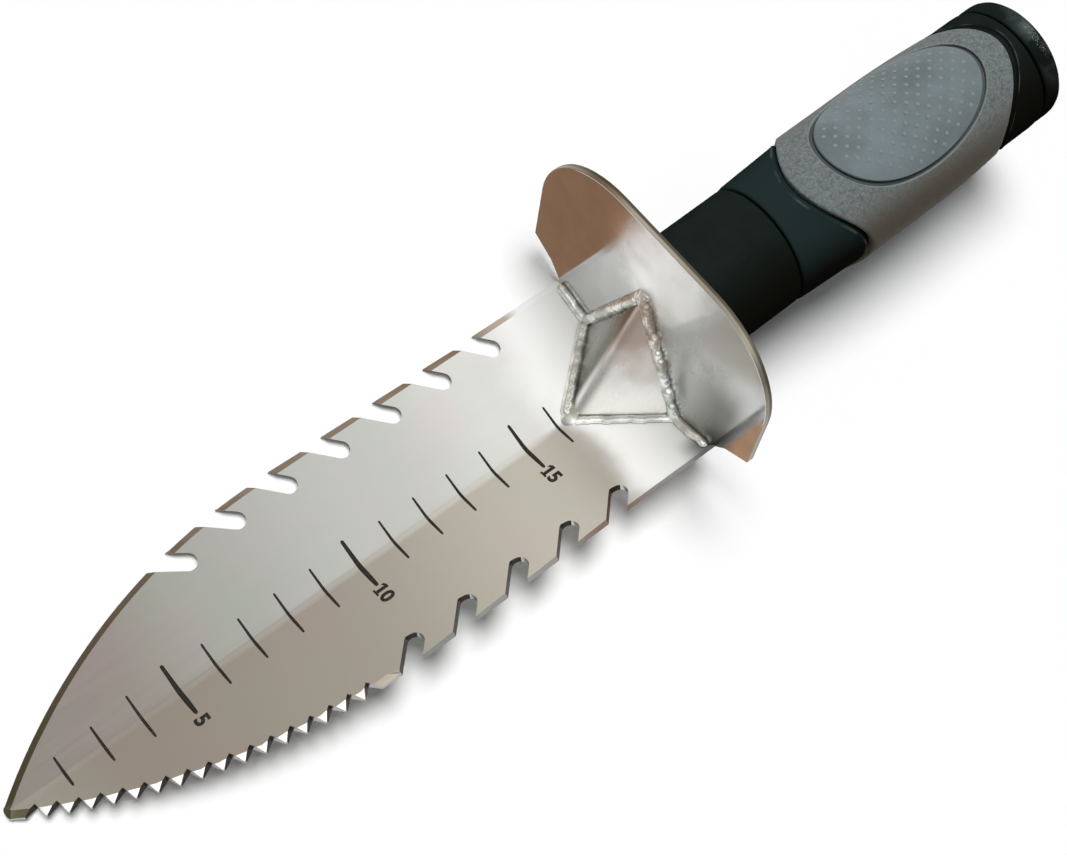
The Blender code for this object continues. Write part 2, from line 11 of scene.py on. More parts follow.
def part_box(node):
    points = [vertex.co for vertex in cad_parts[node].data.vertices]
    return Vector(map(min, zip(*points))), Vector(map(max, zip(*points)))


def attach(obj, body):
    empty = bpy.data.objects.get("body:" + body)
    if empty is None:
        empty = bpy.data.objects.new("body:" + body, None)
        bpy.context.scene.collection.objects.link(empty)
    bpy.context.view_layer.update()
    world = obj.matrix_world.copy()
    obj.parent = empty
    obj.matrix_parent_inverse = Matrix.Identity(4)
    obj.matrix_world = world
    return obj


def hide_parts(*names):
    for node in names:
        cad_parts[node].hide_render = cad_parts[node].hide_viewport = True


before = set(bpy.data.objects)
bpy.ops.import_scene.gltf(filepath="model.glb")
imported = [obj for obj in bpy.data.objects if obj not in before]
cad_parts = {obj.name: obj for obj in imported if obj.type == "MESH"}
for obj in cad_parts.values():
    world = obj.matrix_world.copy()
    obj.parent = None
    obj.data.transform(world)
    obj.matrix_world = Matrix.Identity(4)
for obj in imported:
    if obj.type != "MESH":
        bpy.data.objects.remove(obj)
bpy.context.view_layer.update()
scene = bpy.context.scene

# Sizes of the solids that the pieces below follow
GAP = 0.0003
BLADE_LENGTH = 0.178
LEFT_HALF_WIDTH = 0.030
RIGHT_HALF_WIDTH = 0.029
BLADE_THICKNESS = 0.002
FOLD_ANGLE = radians(14.5)
GUARD_THICKNESS = 0.002
GUARD_NECK_INSET = 0.0012
BRACE_LENGTH = 0.0195
BRACE_HEIGHT = 0.0358
BRACE_HALF_WIDTH = 0.0166
BRACE_TOP_SHIFT = 0.0022
BRACE_THICKNESS = 0.002
HANDLE_HEIGHT = 0.0238
HANDLE_RISE = radians(5.1)
BORE_RADIUS = 0.0103
COLLAR_RADIUS = 0.0162
COLLAR_LENGTH = 0.034
CORE_RADIUS = 0.0155
GRIP_START = 0.0346
BAND_FRONT_STEP = 0.0009
BAND_SWELL = 0.0009
BAND_REAR_STEP = 0.0013
SHELL_START = 0.0433
SHELL_END = 0.1107
SHELL_BORE = 0.0158
SHELL_RADIUS = 0.0182
SHELL_DROP = 0.0011
FRONT_WAVE = 0.0127
REAR_WAVE = 0.0104
PAD_CENTRE = 0.0780
PAD_TURN = radians(2.8)
PAD_HALF_LENGTH = 0.0238
PAD_HALF_WIDTH = 0.0162
PAD_GROOVE = 0.0012
PAD_PROUD = 0.0002
GRIP_END = 0.115
CAP_START = 0.1156
CAP_LENGTH = 0.0062
CAP_RADIUS = 0.0166
CAP_ROUNDING = 0.0030
SPIGOT_RADIUS = 0.0082
SPIGOT_LENGTH = 0.018

# Fine shape, and painted highlights, that only the looks have
FOLD_ROUNDING = 0.0014
FOLD_CUTS = 5
BLADE_ARRIS = 0.00010
GUARD_ARRIS = 0.00022
RIDGE_ROUNDING = 0.0030
SLEEVE_ROUNDING = 0.0007
SHELL_ROUNDING = 0.0006
LIP_OFFSET = 0.0012
LIP_HEIGHT = 0.0002
CHANNEL_DEPTH = 0.0006
REAR_CHANNEL = 0.0017
RECESS_DEPTH = 0.0009
JOINT_DEPTH = 0.0012
JOINT_CLEARANCE = 0.0001
# Painted highlight on the cap's scuffed rim: where it turns to, how narrow it is, and how deep from the rim
# it reaches
CAP_HIGHLIGHT_TURN = radians(15)
CAP_HIGHLIGHT_FOCUS = 6
CAP_HIGHLIGHT_DEPTH = 0.001
# Painted highlight on the lip crests: its strength, and the share of the lip's height over which it rises
LIP_HIGHLIGHT = 0.6
LIP_HIGHLIGHT_RISE = (0.3, 0.5)
TURN_STEPS = 144
SMOOTH_ANGLE = radians(32)
EASED_ANGLE = radians(22)
FLAT_ANGLE = radians(0.3)
MERGE_DISTANCE = 0.000001

TAN_FOLD = tan(FOLD_ANGLE)
COS_FOLD = cos(FOLD_ANGLE)
SIN_FOLD = sin(FOLD_ANGLE)

# The knife's own axes: the crease along X from the tip at -X, the guard's front face at x = 0, the hollow up
tip_corner, left_corner = (Vector(corner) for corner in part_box("blade"))
KNIFE = Matrix.Translation((tip_corner.x + BLADE_LENGTH, left_corner.y - LEFT_HALF_WIDTH, BLADE_THICKNESS))
KNIFE = KNIFE @ Matrix.Rotation(-FOLD_ANGLE, 4, "X")

# The handle's own axes: Z along it from the guard, -X up
HANDLE = KNIFE @ Matrix.Translation((GUARD_THICKNESS, 0, HANDLE_HEIGHT))
HANDLE = HANDLE @ Matrix.Rotation(pi / 2 - HANDLE_RISE, 4, "Y")


def configured(item, **settings):
    """The item, with these settings made."""
    for name, value in settings.items():
        setattr(item, name, value)
    return item


# Nodes

class Nodes:
    """Short ways of adding nodes to one node tree. Each gives back the new node's output."""

    def __init__(self, tree):
        self.tree = tree

    def add(self, kind, inputs=(), output=0, **settings):
        node = configured(self.tree.nodes.new("ShaderNode" + kind), **settings)
        for name, value in dict(inputs).items():
            self.fill(node.inputs[name], value)
        return node.outputs[output]

    def fill(self, socket, value):
        if isinstance(value, bpy.types.NodeSocket):
            self.tree.links.new(value, socket)
        elif socket.type == "RGBA":
            socket.default_value = (*value, 1)
        else:
            socket.default_value = value

    def maths(self, operation, *values):
        return self.add("Math", dict(enumerate(values)), operation=operation)

    def times(self, first, second):
        return self.maths("MULTIPLY", first, second)

    def plus(self, first, second):
        return self.maths("ADD", first, second)

    def moved(self, value, by, amount):
        """A value moved on by an amount times another value."""
        return self.maths("MULTIPLY_ADD", by, amount, value)

    def ramp(self, value, low, high, first=0.0, last=1.0):
        """Goes smoothly from first to last while value goes from low to high."""
        limits = {"From Min": low, "From Max": high, "To Min": first, "To Max": last}
        return self.add("MapRange", {"Value": value, **limits}, interpolation_type="SMOOTHSTEP")

    def mix(self, share, first, second, blend="MIX"):
        inputs = {0: share, 6: first, 7: second}
        return self.add("Mix", inputs, 2, data_type="RGBA", blend_type=blend)

    def graded(self, value, colour, tints):
        """A colour that passes into each tint's colour while value goes through the tint's limits."""
        for limits, following in tints:
            colour = self.mix(self.ramp(value, *limits), colour, following)
        return colour


class Look(Nodes):
    """A material with a Principled shader, whose patterns are laid out in the axes that it is given."""

    def __init__(self, name, axes, constants):
        self.material = bpy.data.materials.new(name)
        self.material.use_nodes = True
        super().__init__(self.material.node_tree)
        self.shader = self.tree.nodes["Principled BSDF"]
        back = axes.inverted()
        turned = {"Location": back.translation, "Rotation": back.to_euler()}
        self.place = self.add("Mapping", {"Vector": self.add("TexCoord", output="Object"), **turned})
        self.x, self.y, self.z = self.add("SeparateXYZ", {0: self.place}).node.outputs
        for socket, value in constants.items():
            self.set(socket, value)

    def set(self, socket, value):
        self.fill(self.shader.inputs[socket], value)

    def paint(self, colour):
        self.colour = colour
        self.set("Base Color", colour)

    def over(self, share, colour):
        """Paints a share of another colour over the one that is there."""
        self.paint(self.mix(share, self.colour, colour))

    def rough(self, value, *limits):
        self.set("Roughness", self.ramp(value, *limits))

    def region(self, edges):
        """Goes from 0 outside a region to 1 inside it. An edge is an axis and the limits of a ramp."""
        share = 1.0
        for axis, *limits in edges:
            share = self.times(share, self.ramp(getattr(self, axis), *limits))
        return share

    def noise(self, scale, detail, stretch=(1, 1, 1)):
        where = self.add("Mapping", {"Vector": self.place, "Scale": [scale * share for share in stretch]})
        return self.add("TexNoise", {"Vector": where, "Scale": 1.0, "Detail": detail})

    def mark(self, name):
        """What the piece's own mesh says about a place, by the name of its attribute."""
        return self.add("Attribute", output="Fac", attribute_name=name)

    def bump(self, height, depth):
        self.set("Normal", self.add("Bump", {"Distance": depth, "Height": height}))


# Looks of the materials. A tint is a pair of limits along one axis and the colour past them

# The wing tints are painted reflection: each wing is painted darker at the tip and brighter towards the
# guard, and the two wings differ.
LEFT_TIP = (0.475, 0.423, 0.404)
LEFT_TINTS = (
    ((-0.145, -0.115), (0.528, 0.543, 0.510)),
    ((-0.115, -0.080), (0.582, 0.598, 0.587)),
    ((-0.065, -0.020), (0.77, 0.775, 0.77)),
)
RIGHT_TIP = (0.60, 0.61, 0.59)
RIGHT_TINTS = (
    ((-0.172, -0.150), (0.545, 0.522, 0.492)),
    ((-0.150, -0.090), (0.585, 0.580, 0.558)),
    ((-0.100, -0.030), (0.815, 0.845, 0.815)),
)
PATCH_COLOURS = ((1.0, 0.965, 0.970), (0.965, 0.985, 0.955))
# The ground bevels' tints are painted reflection: dark brown towards the tip, fading to pale by the guard.
GROUND_TIP = (0.12, 0.108, 0.068)
GROUND_TINTS = (
    ((-0.178, -0.05), (0.48, 0.41, 0.34)),
    ((-0.018, -0.0125), (0.93, 0.95, 0.97)),
)
LEFT_BUFF = (-0.027, -0.009)
RIGHT_BUFF = (-0.020, -0.008)
BUFF_UNEVEN = 0.014
BUFF_ROUGHNESS = 0.15
SHADE_REGION = (("x", -0.008, -0.001), ("y", -0.0215, -0.0262))


def satin_steel():
    """Blade: satin with a patchy tint and painted reflection that brightens towards the guard and differs
    between the wings, painted reflection on ground edges that is dark towards the tip, painted shade on cut
    walls and on the right wing's edge by the guard, buffed bright by the guard.
    """
    look = Look("satin_steel", KNIFE, {})
    grain = look.noise(1400, 3, (0.03, 1, 1))
    cloud = look.noise(70, 4)
    patch = look.ramp(look.noise(55, 1), 0.38, 0.62)
    near = look.moved(look.x, cloud, BUFF_UNEVEN)
    on_left = look.ramp(look.y, -0.001, 0.001)
    buff = look.ramp(on_left, 0, 1, look.ramp(near, *RIGHT_BUFF), look.ramp(near, *LEFT_BUFF))
    left = look.graded(look.x, LEFT_TIP, LEFT_TINTS)
    right = look.graded(look.x, RIGHT_TIP, RIGHT_TINTS)
    look.paint(look.mix(on_left, right, left))
    look.paint(look.mix(1.0, look.colour, look.mix(patch, *PATCH_COLOURS), "MULTIPLY"))
    look.over(buff, (0.95, 0.95, 0.94))
    # Painted shade on the right wing's outer edge just in front of the guard.
    look.over(look.region(SHADE_REGION), (0.25, 0.26, 0.255))
    # Painted reflection on the ground bevels.
    look.over(look.mark("ground"), look.graded(look.x, GROUND_TIP, GROUND_TINTS))
    look.over(look.mark("tooth"), (0.97, 0.97, 0.96))
    # Painted shade on cut walls, near black where they would lie in shade.
    look.over(look.mark("cut"), (0.020, 0.017, 0.013))
    look.set("Metallic", look.ramp(buff, 0, 1, 1.0, 0.2))
    satin = look.ramp(grain, 0.2, 0.8, 0.28, 0.33)
    look.set("Roughness", look.plus(satin, look.times(buff, BUFF_ROUGHNESS)))
    return look


# A buffed patch over the brace is rougher, and its pale colour is a painted highlight. The guard is brighter
# beyond a slanted line, as painted reflection, and dark low on its right, as painted shade
HAZE_AND_HIGHLIGHT_CENTRE = (0, -0.003, 0.050)
HAZE_AND_HIGHLIGHT_REACH = (0.028, 0.012)
HAZE_AND_HIGHLIGHT_UNEVEN = 0.010
HAZE_ROUGHNESS = 0.15
BEYOND_SLANT = 0.48
BEYOND_LIMITS = (0.0106, 0.0084)
PAINTED_SHADE_REGION = (("z", 0.044, 0.026), ("y", -0.012, -0.028), ("y", -0.036, -0.030))
MIDDLE_REGION = (("y", 0.016, 0.008), ("y", -0.032, -0.024))
RIM_COLOUR = (0.42, 0.40, 0.35)
RIM_TINTS = (
    ((0.012, -0.026), (0.26, 0.235, 0.19)),
    ((0.008, 0.020), (0.25, 0.19, 0.14)),
)
RIM_REAR_TINTS = (((0.0009, 0.0013), (0.11, 0.095, 0.070)),)
RIM_ROUGHNESS = 0.34


def guard_steel():
    """Guard: buffed to a soft mirror with fine scuffs and a sawn rim; over the brace a rougher buffed patch
    whose bright colour is a painted highlight, painted reflection beyond a slanted line and painted shade
    low on the right.
    """
    look = Look("guard_steel", KNIFE, {"Metallic": 1.0})
    scuff = look.noise(1500, 3, (1, 1, 0.06))
    cloud = look.noise(120, 2)
    reach = look.add("VectorMath", {0: look.place, 1: HAZE_AND_HIGHLIGHT_CENTRE}, "Value", operation="DISTANCE")
    haze_and_highlight = look.ramp(look.moved(reach, cloud, HAZE_AND_HIGHLIGHT_UNEVEN), *HAZE_AND_HIGHLIGHT_REACH)
    beyond = look.ramp(look.moved(look.y, look.z, BEYOND_SLANT), *BEYOND_LIMITS)
    haze_and_highlight = look.times(haze_and_highlight, look.ramp(beyond, 0, 1, 1.0, 0.15))
    look.paint(look.mix(cloud, (0.40, 0.405, 0.40), (0.56, 0.565, 0.56)))
    # Painted reflection: the right and lower part, beyond a slanted line, is painted brighter than the upper
    # left.
    look.over(beyond, look.mix(cloud, (0.50, 0.52, 0.525), (0.65, 0.665, 0.67)))
    # Painted shade low on the guard's right lobe.
    look.over(look.region(PAINTED_SHADE_REGION), (0.195, 0.198, 0.187))
    # Over the brace: the near-white colour is a painted highlight, and the added roughness is real buffing.
    look.over(haze_and_highlight, (0.97, 0.97, 0.965))
    rim = look.mark("rim")
    look.over(rim, look.graded(look.x, look.graded(look.y, RIM_COLOUR, RIM_TINTS), RIM_REAR_TINTS))
    clear = look.times(look.ramp(cloud, 0.3, 0.75, 0.07, 0.15), look.ramp(scuff, 0.2, 0.8, 0.9, 1.1))
    clear = look.times(clear, look.ramp(look.region(MIDDLE_REGION), 0, 1, 1.0, 2.1))
    rough = look.plus(clear, look.times(haze_and_highlight, HAZE_ROUGHNESS))
    look.set("Roughness", look.maths("MAXIMUM", rough, look.times(rim, RIM_ROUGHNESS)))
    return look


RIDGE_LEAN = BRACE_TOP_SHIFT / BRACE_HEIGHT
BRACE_LEFT_SIDE = (0.0010, 0.0034)
BRACE_AWAY = (0.003, 0.008)
BRACE_HEAT = (0.019, 0.034)
BRACE_HEAT_UNEVEN = 0.016


def brace_steel():
    """Brace: broad streaks along its ridge, painted reflection that darkens the facet to the left of it,
    darkest by the ridge, and a brown heat tint near the top.
    """
    look = Look("brace_steel", KNIFE, {"Metallic": 1.0})
    streak = look.noise(480, 1, (0.06, 1, 0.06))
    cloud = look.noise(130, 1)
    left = look.ramp(look.y, *BRACE_LEFT_SIDE)
    away = look.ramp(look.moved(look.y, look.z, -RIDGE_LEAN), *BRACE_AWAY)
    # Painted reflection: the facet left of the ridge is painted darker than the right one, darkest in a band
    # by the ridge.
    by_ridge = look.mix(streak, (0.13, 0.13, 0.11), (0.22, 0.22, 0.195))
    by_weld = look.mix(streak, (0.34, 0.35, 0.325), (0.46, 0.47, 0.445))
    look.paint(look.mix(streak, (0.80, 0.79, 0.775), (0.97, 0.965, 0.95)))
    look.over(left, look.mix(away, by_ridge, by_weld))
    heat = look.ramp(look.moved(look.z, cloud, BRACE_HEAT_UNEVEN), *BRACE_HEAT)
    look.over(look.times(heat, look.ramp(left, 0.0, 1.0, 0.85, 0.2)), (0.40, 0.295, 0.225))
    look.rough(streak, 0.2, 0.8, 0.24, 0.34)
    look.bump(streak, 0.000006)
    return look


BEAD_HEAT_REGION = (("z", 0.012, 0.028, 0.0, 0.8), ("y", 0.003, 0.0))


def weld_steel():
    """Beads: bright where smooth, duller in patches, with painted shade along thin toes where they meet the
    plates.
    """
    look = Look("weld_steel", KNIFE, {"Metallic": 0.9})
    speck = look.noise(1500, 3)
    cloud = look.noise(260, 3)
    look.paint(look.mix(look.ramp(cloud, 0.35, 0.65), (0.60, 0.62, 0.585), (0.93, 0.955, 0.93)))
    heat = look.times(look.region(BEAD_HEAT_REGION), look.ramp(cloud, 0.6, 0.45))
    look.over(heat, (0.46, 0.34, 0.265))
    # Painted shade along the toes, where the bead meets the plates.
    look.over(look.mark("toe"), (0.40, 0.37, 0.33))
    look.rough(cloud, 0.35, 0.65, 0.34, 0.2)
    look.bump(speck, 0.000012)
    return look


def tube_steel():
    """Plain drawn tube inside the grip."""
    look = Look("tube_steel", HANDLE, {"Metallic": 1.0})
    grain = look.noise(900, 2, (0.05, 1, 1))
    look.paint(look.mix(grain, (0.55, 0.54, 0.53), (0.64, 0.63, 0.62)))
    look.rough(grain, 0.2, 0.8, 0.3, 0.42)
    return look


PAINTED_SHADE_SIDE = (-0.002, -0.0155)
SHEEN_REGION = (("x", -0.002, -0.014), ("z", GRIP_START - GAP, GRIP_START), ("z", 0.070, 0.052))


def black_rubber():
    """Collar, core and cap: dull black, finely pitted, with painted shade on the right side, a painted sheen
    on the front band's top, and painted highlights on the lip crests and the cap's rim, with painted glints
    on the rim.
    """
    look = Look("black_rubber", HANDLE, {"Specular IOR Level": 0.0})
    pits = look.noise(2600, 2)
    cloud = look.noise(160, 3)
    worn = look.mark("worn")
    look.paint(look.mix(cloud, (0.008, 0.0115, 0.0098), (0.014, 0.021, 0.0195)))
    # Painted shade on the right side.
    look.over(look.ramp(look.y, *PAINTED_SHADE_SIDE), (0.0060, 0.0062, 0.0045))
    # Painted sheen on the top of the front band.
    look.over(look.region(SHEEN_REGION), (0.0155, 0.028, 0.027))
    # Painted highlight on the lip crests and the cap's rim, broken up by the cloud.
    look.over(look.times(worn, look.ramp(cloud, 0.40, 0.62)), (0.085, 0.105, 0.105))
    # Painted glints: pale specks where the painted highlight is strongest, on the cap's rim.
    glint = look.times(look.ramp(worn, 0.65, 0.9), look.ramp(pits, 0.50, 0.66))
    look.over(glint, (0.17, 0.19, 0.19))
    look.rough(cloud, 0.25, 0.75, 0.36, 0.50)
    look.bump(pits, 0.00004)
    return look


SIDE_TINTS = (
    ((0.011, 0.018, 0.0, 0.6), (0.165, 0.148, 0.128)),
    ((-0.009, -0.015, 0.0, 0.4), (0.155, 0.150, 0.132)),
    ((-0.012, -0.0182), (0.085, 0.072, 0.053)),
)


def grey_rubber():
    """Shell of the grip: matt, with a fine leathery grain, brownish along both sides and darker brown out on
    the right, a painted highlight round the oval and painted shade in its recess.
    """
    look = Look("grey_rubber", HANDLE, {"Specular IOR Level": 0.15})
    sand = look.noise(1900, 2)
    leather = look.noise(1000, 2)
    look.paint(look.mix(look.noise(110, 3), (0.125, 0.145, 0.145), (0.160, 0.184, 0.184)))
    look.over(look.ramp(sand, 0.44, 0.70, 0.0, 0.8), (0.225, 0.255, 0.255))
    look.over(look.ramp(leather, 0.52, 0.32, 0.0, 0.6), (0.085, 0.098, 0.098))
    # Brownish along both sides, darker brown out on the right side.
    look.paint(look.graded(look.y, look.colour, SIDE_TINTS))
    # Painted highlight on the shell's rounded lip round the oval recess.
    look.over(look.times(look.mark("worn"), 0.6), (0.29, 0.31, 0.31))
    # Painted shade on the floor of the oval recess, which shows in the gap round each pad.
    look.over(look.mark("groove"), (0.080, 0.092, 0.092))
    look.rough(sand, 0.3, 0.7, 0.72, 0.92)
    look.bump(look.plus(leather, look.times(sand, 0.5)), 0.00013)
    return look


def pad_rubber():
    """Oval inserts: smoother, a cloudy cooler grey, a little lighter on the tops of the dots as a painted
    highlight.
    """
    look = Look("pad_rubber", HANDLE, {"Specular IOR Level": 0.3})
    pits = look.noise(2600, 2)
    cloud = look.noise(90, 3)
    look.paint(look.mix(look.ramp(cloud, 0.3, 0.7), (0.118, 0.146, 0.150), (0.178, 0.218, 0.232)))
    look.over(look.ramp(pits, 0.5, 0.75, 0.0, 0.5), (0.200, 0.232, 0.238))
    # Painted highlight on the tops of the raised dots.
    highlit = look.times(look.mark("raised"), look.ramp(cloud, 0.35, 0.65, 0.9, 0.35))
    look.over(highlit, (0.235, 0.268, 0.270))
    look.rough(cloud, 0.25, 0.75, 0.50, 0.64)
    look.bump(pits, 0.00004)
    return look


def mark_ink():
    """Marks of the scale: etched black, broken up where the etching is thin."""
    look = Look("mark_ink", KNIFE, {"Specular IOR Level": 0.3})
    wear = look.noise(2200, 3)
    look.paint(look.mix(look.ramp(wear, 0.45, 0.8), (0.014, 0.012, 0.009), (0.06, 0.053, 0.045)))
    look.rough(wear, 0.3, 0.7, 0.45, 0.7)
    return look


# Making pieces

def between(value, start, end):
    """How far a value has come from start to end, as a share from 0 to 1."""
    return min(max((value - start) / (end - start), 0), 1)


def linked(name, data):
    """A new object at the origin, as the nodes of the frame are."""
    piece = bpy.data.objects.new(name, data)
    scene.collection.objects.link(piece)
    return piece


@contextlib.contextmanager
def reshaping(mesh):
    """A mesh opened for changes, which it takes on at the end."""
    shape = bmesh.new()
    shape.from_mesh(mesh)
    yield shape
    shape.to_mesh(mesh)
    shape.free()


def shaped(name, vertices, faces, axes, **marks):
    """A piece from points in these axes with marks on them, faces turned outward and equal points merged."""
    mesh = bpy.data.meshes.new(name)
    mesh.from_pydata(vertices, [], faces)
    for mark, values in marks.items():
        mesh.attributes.new(mark, "FLOAT", "POINT").data.foreach_set("value", values)
    with reshaping(mesh) as shape:
        bmesh.ops.remove_doubles(shape, verts=shape.verts, dist=MERGE_DISTANCE)
        bmesh.ops.recalc_face_normals(shape, faces=shape.faces)
        for face in shape.faces:
            face.smooth = True
        shape.transform(axes)
    return linked(name, mesh)


def copied(name, node):
    """A piece with the shape of a node of the frame, with whole flat faces."""
    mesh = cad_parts[node].data.copy()
    with reshaping(mesh) as shape:
        bmesh.ops.remove_doubles(shape, verts=shape.verts, dist=MERGE_DISTANCE)
        bmesh.ops.dissolve_limit(shape, angle_limit=FLAT_ANGLE, verts=shape.verts, edges=shape.edges)
        for face in shape.faces:
            face.smooth = True
    return linked(name, mesh)


def turns(count):
    """Angles once round in equal steps."""
    return [tau * step / count for step in range(count)]


def ring_faces(first, second, count):
    """Faces between two rings of as many points, which are numbered on from first and from second."""
    steps = [(step, (step + 1) % count) for step in range(count)]
    return [(first + here, first + ahead, second + ahead, second + here) for here, ahead in steps]


def eased(piece, width):
    """Rounds a piece's sharp edges a little."""
    bevel = piece.modifiers.new("eased", "BEVEL")
    configured(bevel, limit_method="ANGLE", angle_limit=EASED_ANGLE, width=width, segments=2)


def dress(piece, look, nodes=(), angle=SMOOTH_ANGLE):
    """Gives a piece its look and sharp edges, and sets it in the place of these nodes of the frame."""
    piece.data.materials.clear()
    piece.data.materials.append(look.material)
    smooth = [face.use_smooth for face in piece.data.polygons]
    piece.data.set_sharp_from_angle(angle=angle)
    piece.data.polygons.foreach_set("use_smooth", smooth)
    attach(piece, "root")
    if nodes:
        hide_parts(*nodes)


# Blade and the marks on it

def fold_lift(y):
    """How far the rounded crease stands above the sharp one at this distance beside it."""
    return TAN_FOLD * max(FOLD_ROUNDING - abs(y), 0) ** 2 / (2 * FOLD_ROUNDING)


TOOTH_START = -0.1725
TOOTH_END = -0.0995
RIGHT_LANDS_START = -0.0925
LEVEL_LIMIT = 0.93
BEVEL_LIMIT = 0.30
THROUGH_LIMIT = 0.1
# Shares of painted colour: the first two of painted shade on cut walls, the third of painted reflection on
# the right lands.
LAND_WALL_SHADE = 0.6
FAINT_WALL_SHADE = 0.3
LAND_GROUND = 0.85
ARCH_LIMIT = -0.6
WALL_LEAN = 0.0005
LEFT_SLOTS_START = -0.125
LEAN_START = 0.2
LEAN_FULL = 0.6


def height_share(point):
    """How far up a point lies from the blade's lower face to its upper one."""
    return 1 + (point.z - abs(point.y) * TAN_FOLD) * COS_FOLD / BLADE_THICKNESS


def blade_zone(face):
    """How a face of the blade was made, and how fully: rolled, ground, a tooth's facet or a cut wall."""
    place = face.calc_center_median()
    side = copysign(1, place.y)
    level = face.normal.dot(Vector((0, -side * SIN_FOLD, COS_FOLD)))
    outermost = -place.y > RIGHT_HALF_WIDTH * COS_FOLD - GAP and face.normal.y < 0
    through = min(height_share(vert.co) for vert in face.verts) < THROUGH_LIMIT
    if abs(level) > LEVEL_LIMIT:
        return "rolled", 1
    # Cut walls take painted shade: full on right walls that face the guard or lie along the lands, less on
    # the lands' outer walls, faint on the rest.
    if outermost and place.x > RIGHT_LANDS_START and abs(face.normal.x) < BEVEL_LIMIT:
        return "cut", LAND_WALL_SHADE
    if level < BEVEL_LIMIT and through:
        limit = ARCH_LIMIT if place.x > RIGHT_LANDS_START else 0
        return "cut", 1 if side < 0 and face.normal.x > limit else FAINT_WALL_SHADE
    if side > 0 or place.x < TOOTH_START:
        return "ground", 1
    return ("tooth", 1) if place.x < TOOTH_END else ("ground", LAND_GROUND)


def slant_walls(shape):
    """Leans cut walls: right ones that face the guard open upwards, left ones that face the tip down."""
    leans = {}
    for face in shape.faces:
        place = face.calc_center_median()
        lean = face.normal.x if place.y < 0 else -face.normal.x * (place.x > LEFT_SLOTS_START)
        if abs(face.normal.z) < BEVEL_LIMIT and lean > LEAN_START:
            for vert in face.verts:
                if vert not in leans or lean > leans[vert][0]:
                    leans[vert] = lean, face.normal.copy()
    for vert, (lean, normal) in leans.items():
        height = height_share(vert.co)
        share = height if vert.co.y < 0 else 1 - height
        vert.co -= normal * WALL_LEAN * between(lean, LEAN_START, LEAN_FULL) * share


def make_blade(look):
    """The folded sheet, its crease rounded as a press leaves it."""
    blade = copied("blade_sheet", "blade")
    with reshaping(blade.data) as shape:
        shape.transform(KNIFE.inverted())
        for cut in range(-FOLD_CUTS, FOLD_CUTS + 1):
            whole = shape.verts[:] + shape.edges[:] + shape.faces[:]
            plane = {"plane_co": (0, FOLD_ROUNDING * cut / FOLD_CUTS, 0), "plane_no": (0, 1, 0)}
            bmesh.ops.bisect_plane(shape, geom=whole, dist=MERGE_DISTANCE, **plane)
        layers = {zone: shape.faces.layers.float.new(zone) for zone in ("ground", "tooth", "cut")}
        for face in shape.faces:
            zone, share = blade_zone(face)
            if zone in layers:
                face[layers[zone]] = share
            else:
                face.smooth = abs(face.calc_center_median().y) < FOLD_ROUNDING
        slant_walls(shape)
        for vert in shape.verts:
            vert.co.z += fold_lift(vert.co.y)
        shape.transform(KNIFE)
    dress(blade, look, ["blade"], EASED_ANGLE)
    eased(blade, BLADE_ARRIS)


MARK_THICKNESS = 0.00004
CENTIMETRE = 0.01
SCALE_ZERO = -0.1831
FIRST_MARK = 2
LAST_MARK = 16
MARK_HALF_LENGTH = 0.0061
LONG_MARK_HALF_LENGTH = 0.00725
TIP_MARK_HALF_LENGTHS = {2: 0.0041, 3: 0.0050}
MARK_WIDTH = 0.00062
LONG_MARK_WIDTHS = {5: 0.00105, 10: 0.00105, 15: 0.0009}
MARK_STEPS = 40
MARK_END = 0.5
MARK_END_SLOPE = 20
MARK_SLIM = 0.85
MARK_SWELL = 0.35
MARK_SWELL_SHIFT = 1.6
NUMERAL_HEIGHT = 0.0037
NUMERAL_CLEARANCE = 0.0010
NUMERAL_BOLD = 0.04
ONE_WIDTH = 0.23
ONE_SERIFS = (
    ((-0.15, 0), (0, 0), (0, 0.15), (-0.15, 0.15)),
    ((ONE_WIDTH, 0), (ONE_WIDTH + 0.13, 0), (ONE_WIDTH + 0.13, 0.15), (ONE_WIDTH, 0.15)),
    ((0, 1), (-0.19, 0.86), (-0.19, 0.68), (0, 0.80)),
)


def on_blade(x, across):
    """A point on the blade's upper face, at a distance across the wing from the crease."""
    y = across * COS_FOLD
    return Vector((x, y, abs(y) * TAN_FOLD + fold_lift(y)))


def mark_outline(number, vertices, faces):
    """One stroke across the crease with blunt ends, fuller just past the crease."""
    half = TIP_MARK_HALF_LENGTHS.get(number, MARK_HALF_LENGTH)
    width = MARK_WIDTH
    if number in LONG_MARK_WIDTHS:
        half = LONG_MARK_HALF_LENGTH
        width = LONG_MARK_WIDTHS[number]
    middle = SCALE_ZERO + number * CENTIMETRE
    start = len(vertices)
    for step in range(MARK_STEPS + 1):
        share = step / MARK_STEPS
        blunt = min(1, MARK_END + MARK_END_SLOPE * min(share, 1 - share))
        swell = MARK_SLIM + MARK_SWELL * sin(pi * share ** MARK_SWELL_SHIFT)
        reach = width / 2 * blunt * swell
        across = half * (1 - 2 * share)
        vertices += [on_blade(middle - reach, across), on_blade(middle + reach, across)]
    for step in range(MARK_STEPS):
        first = start + 2 * step
        faces.append((first, first + 1, first + 3, first + 2))


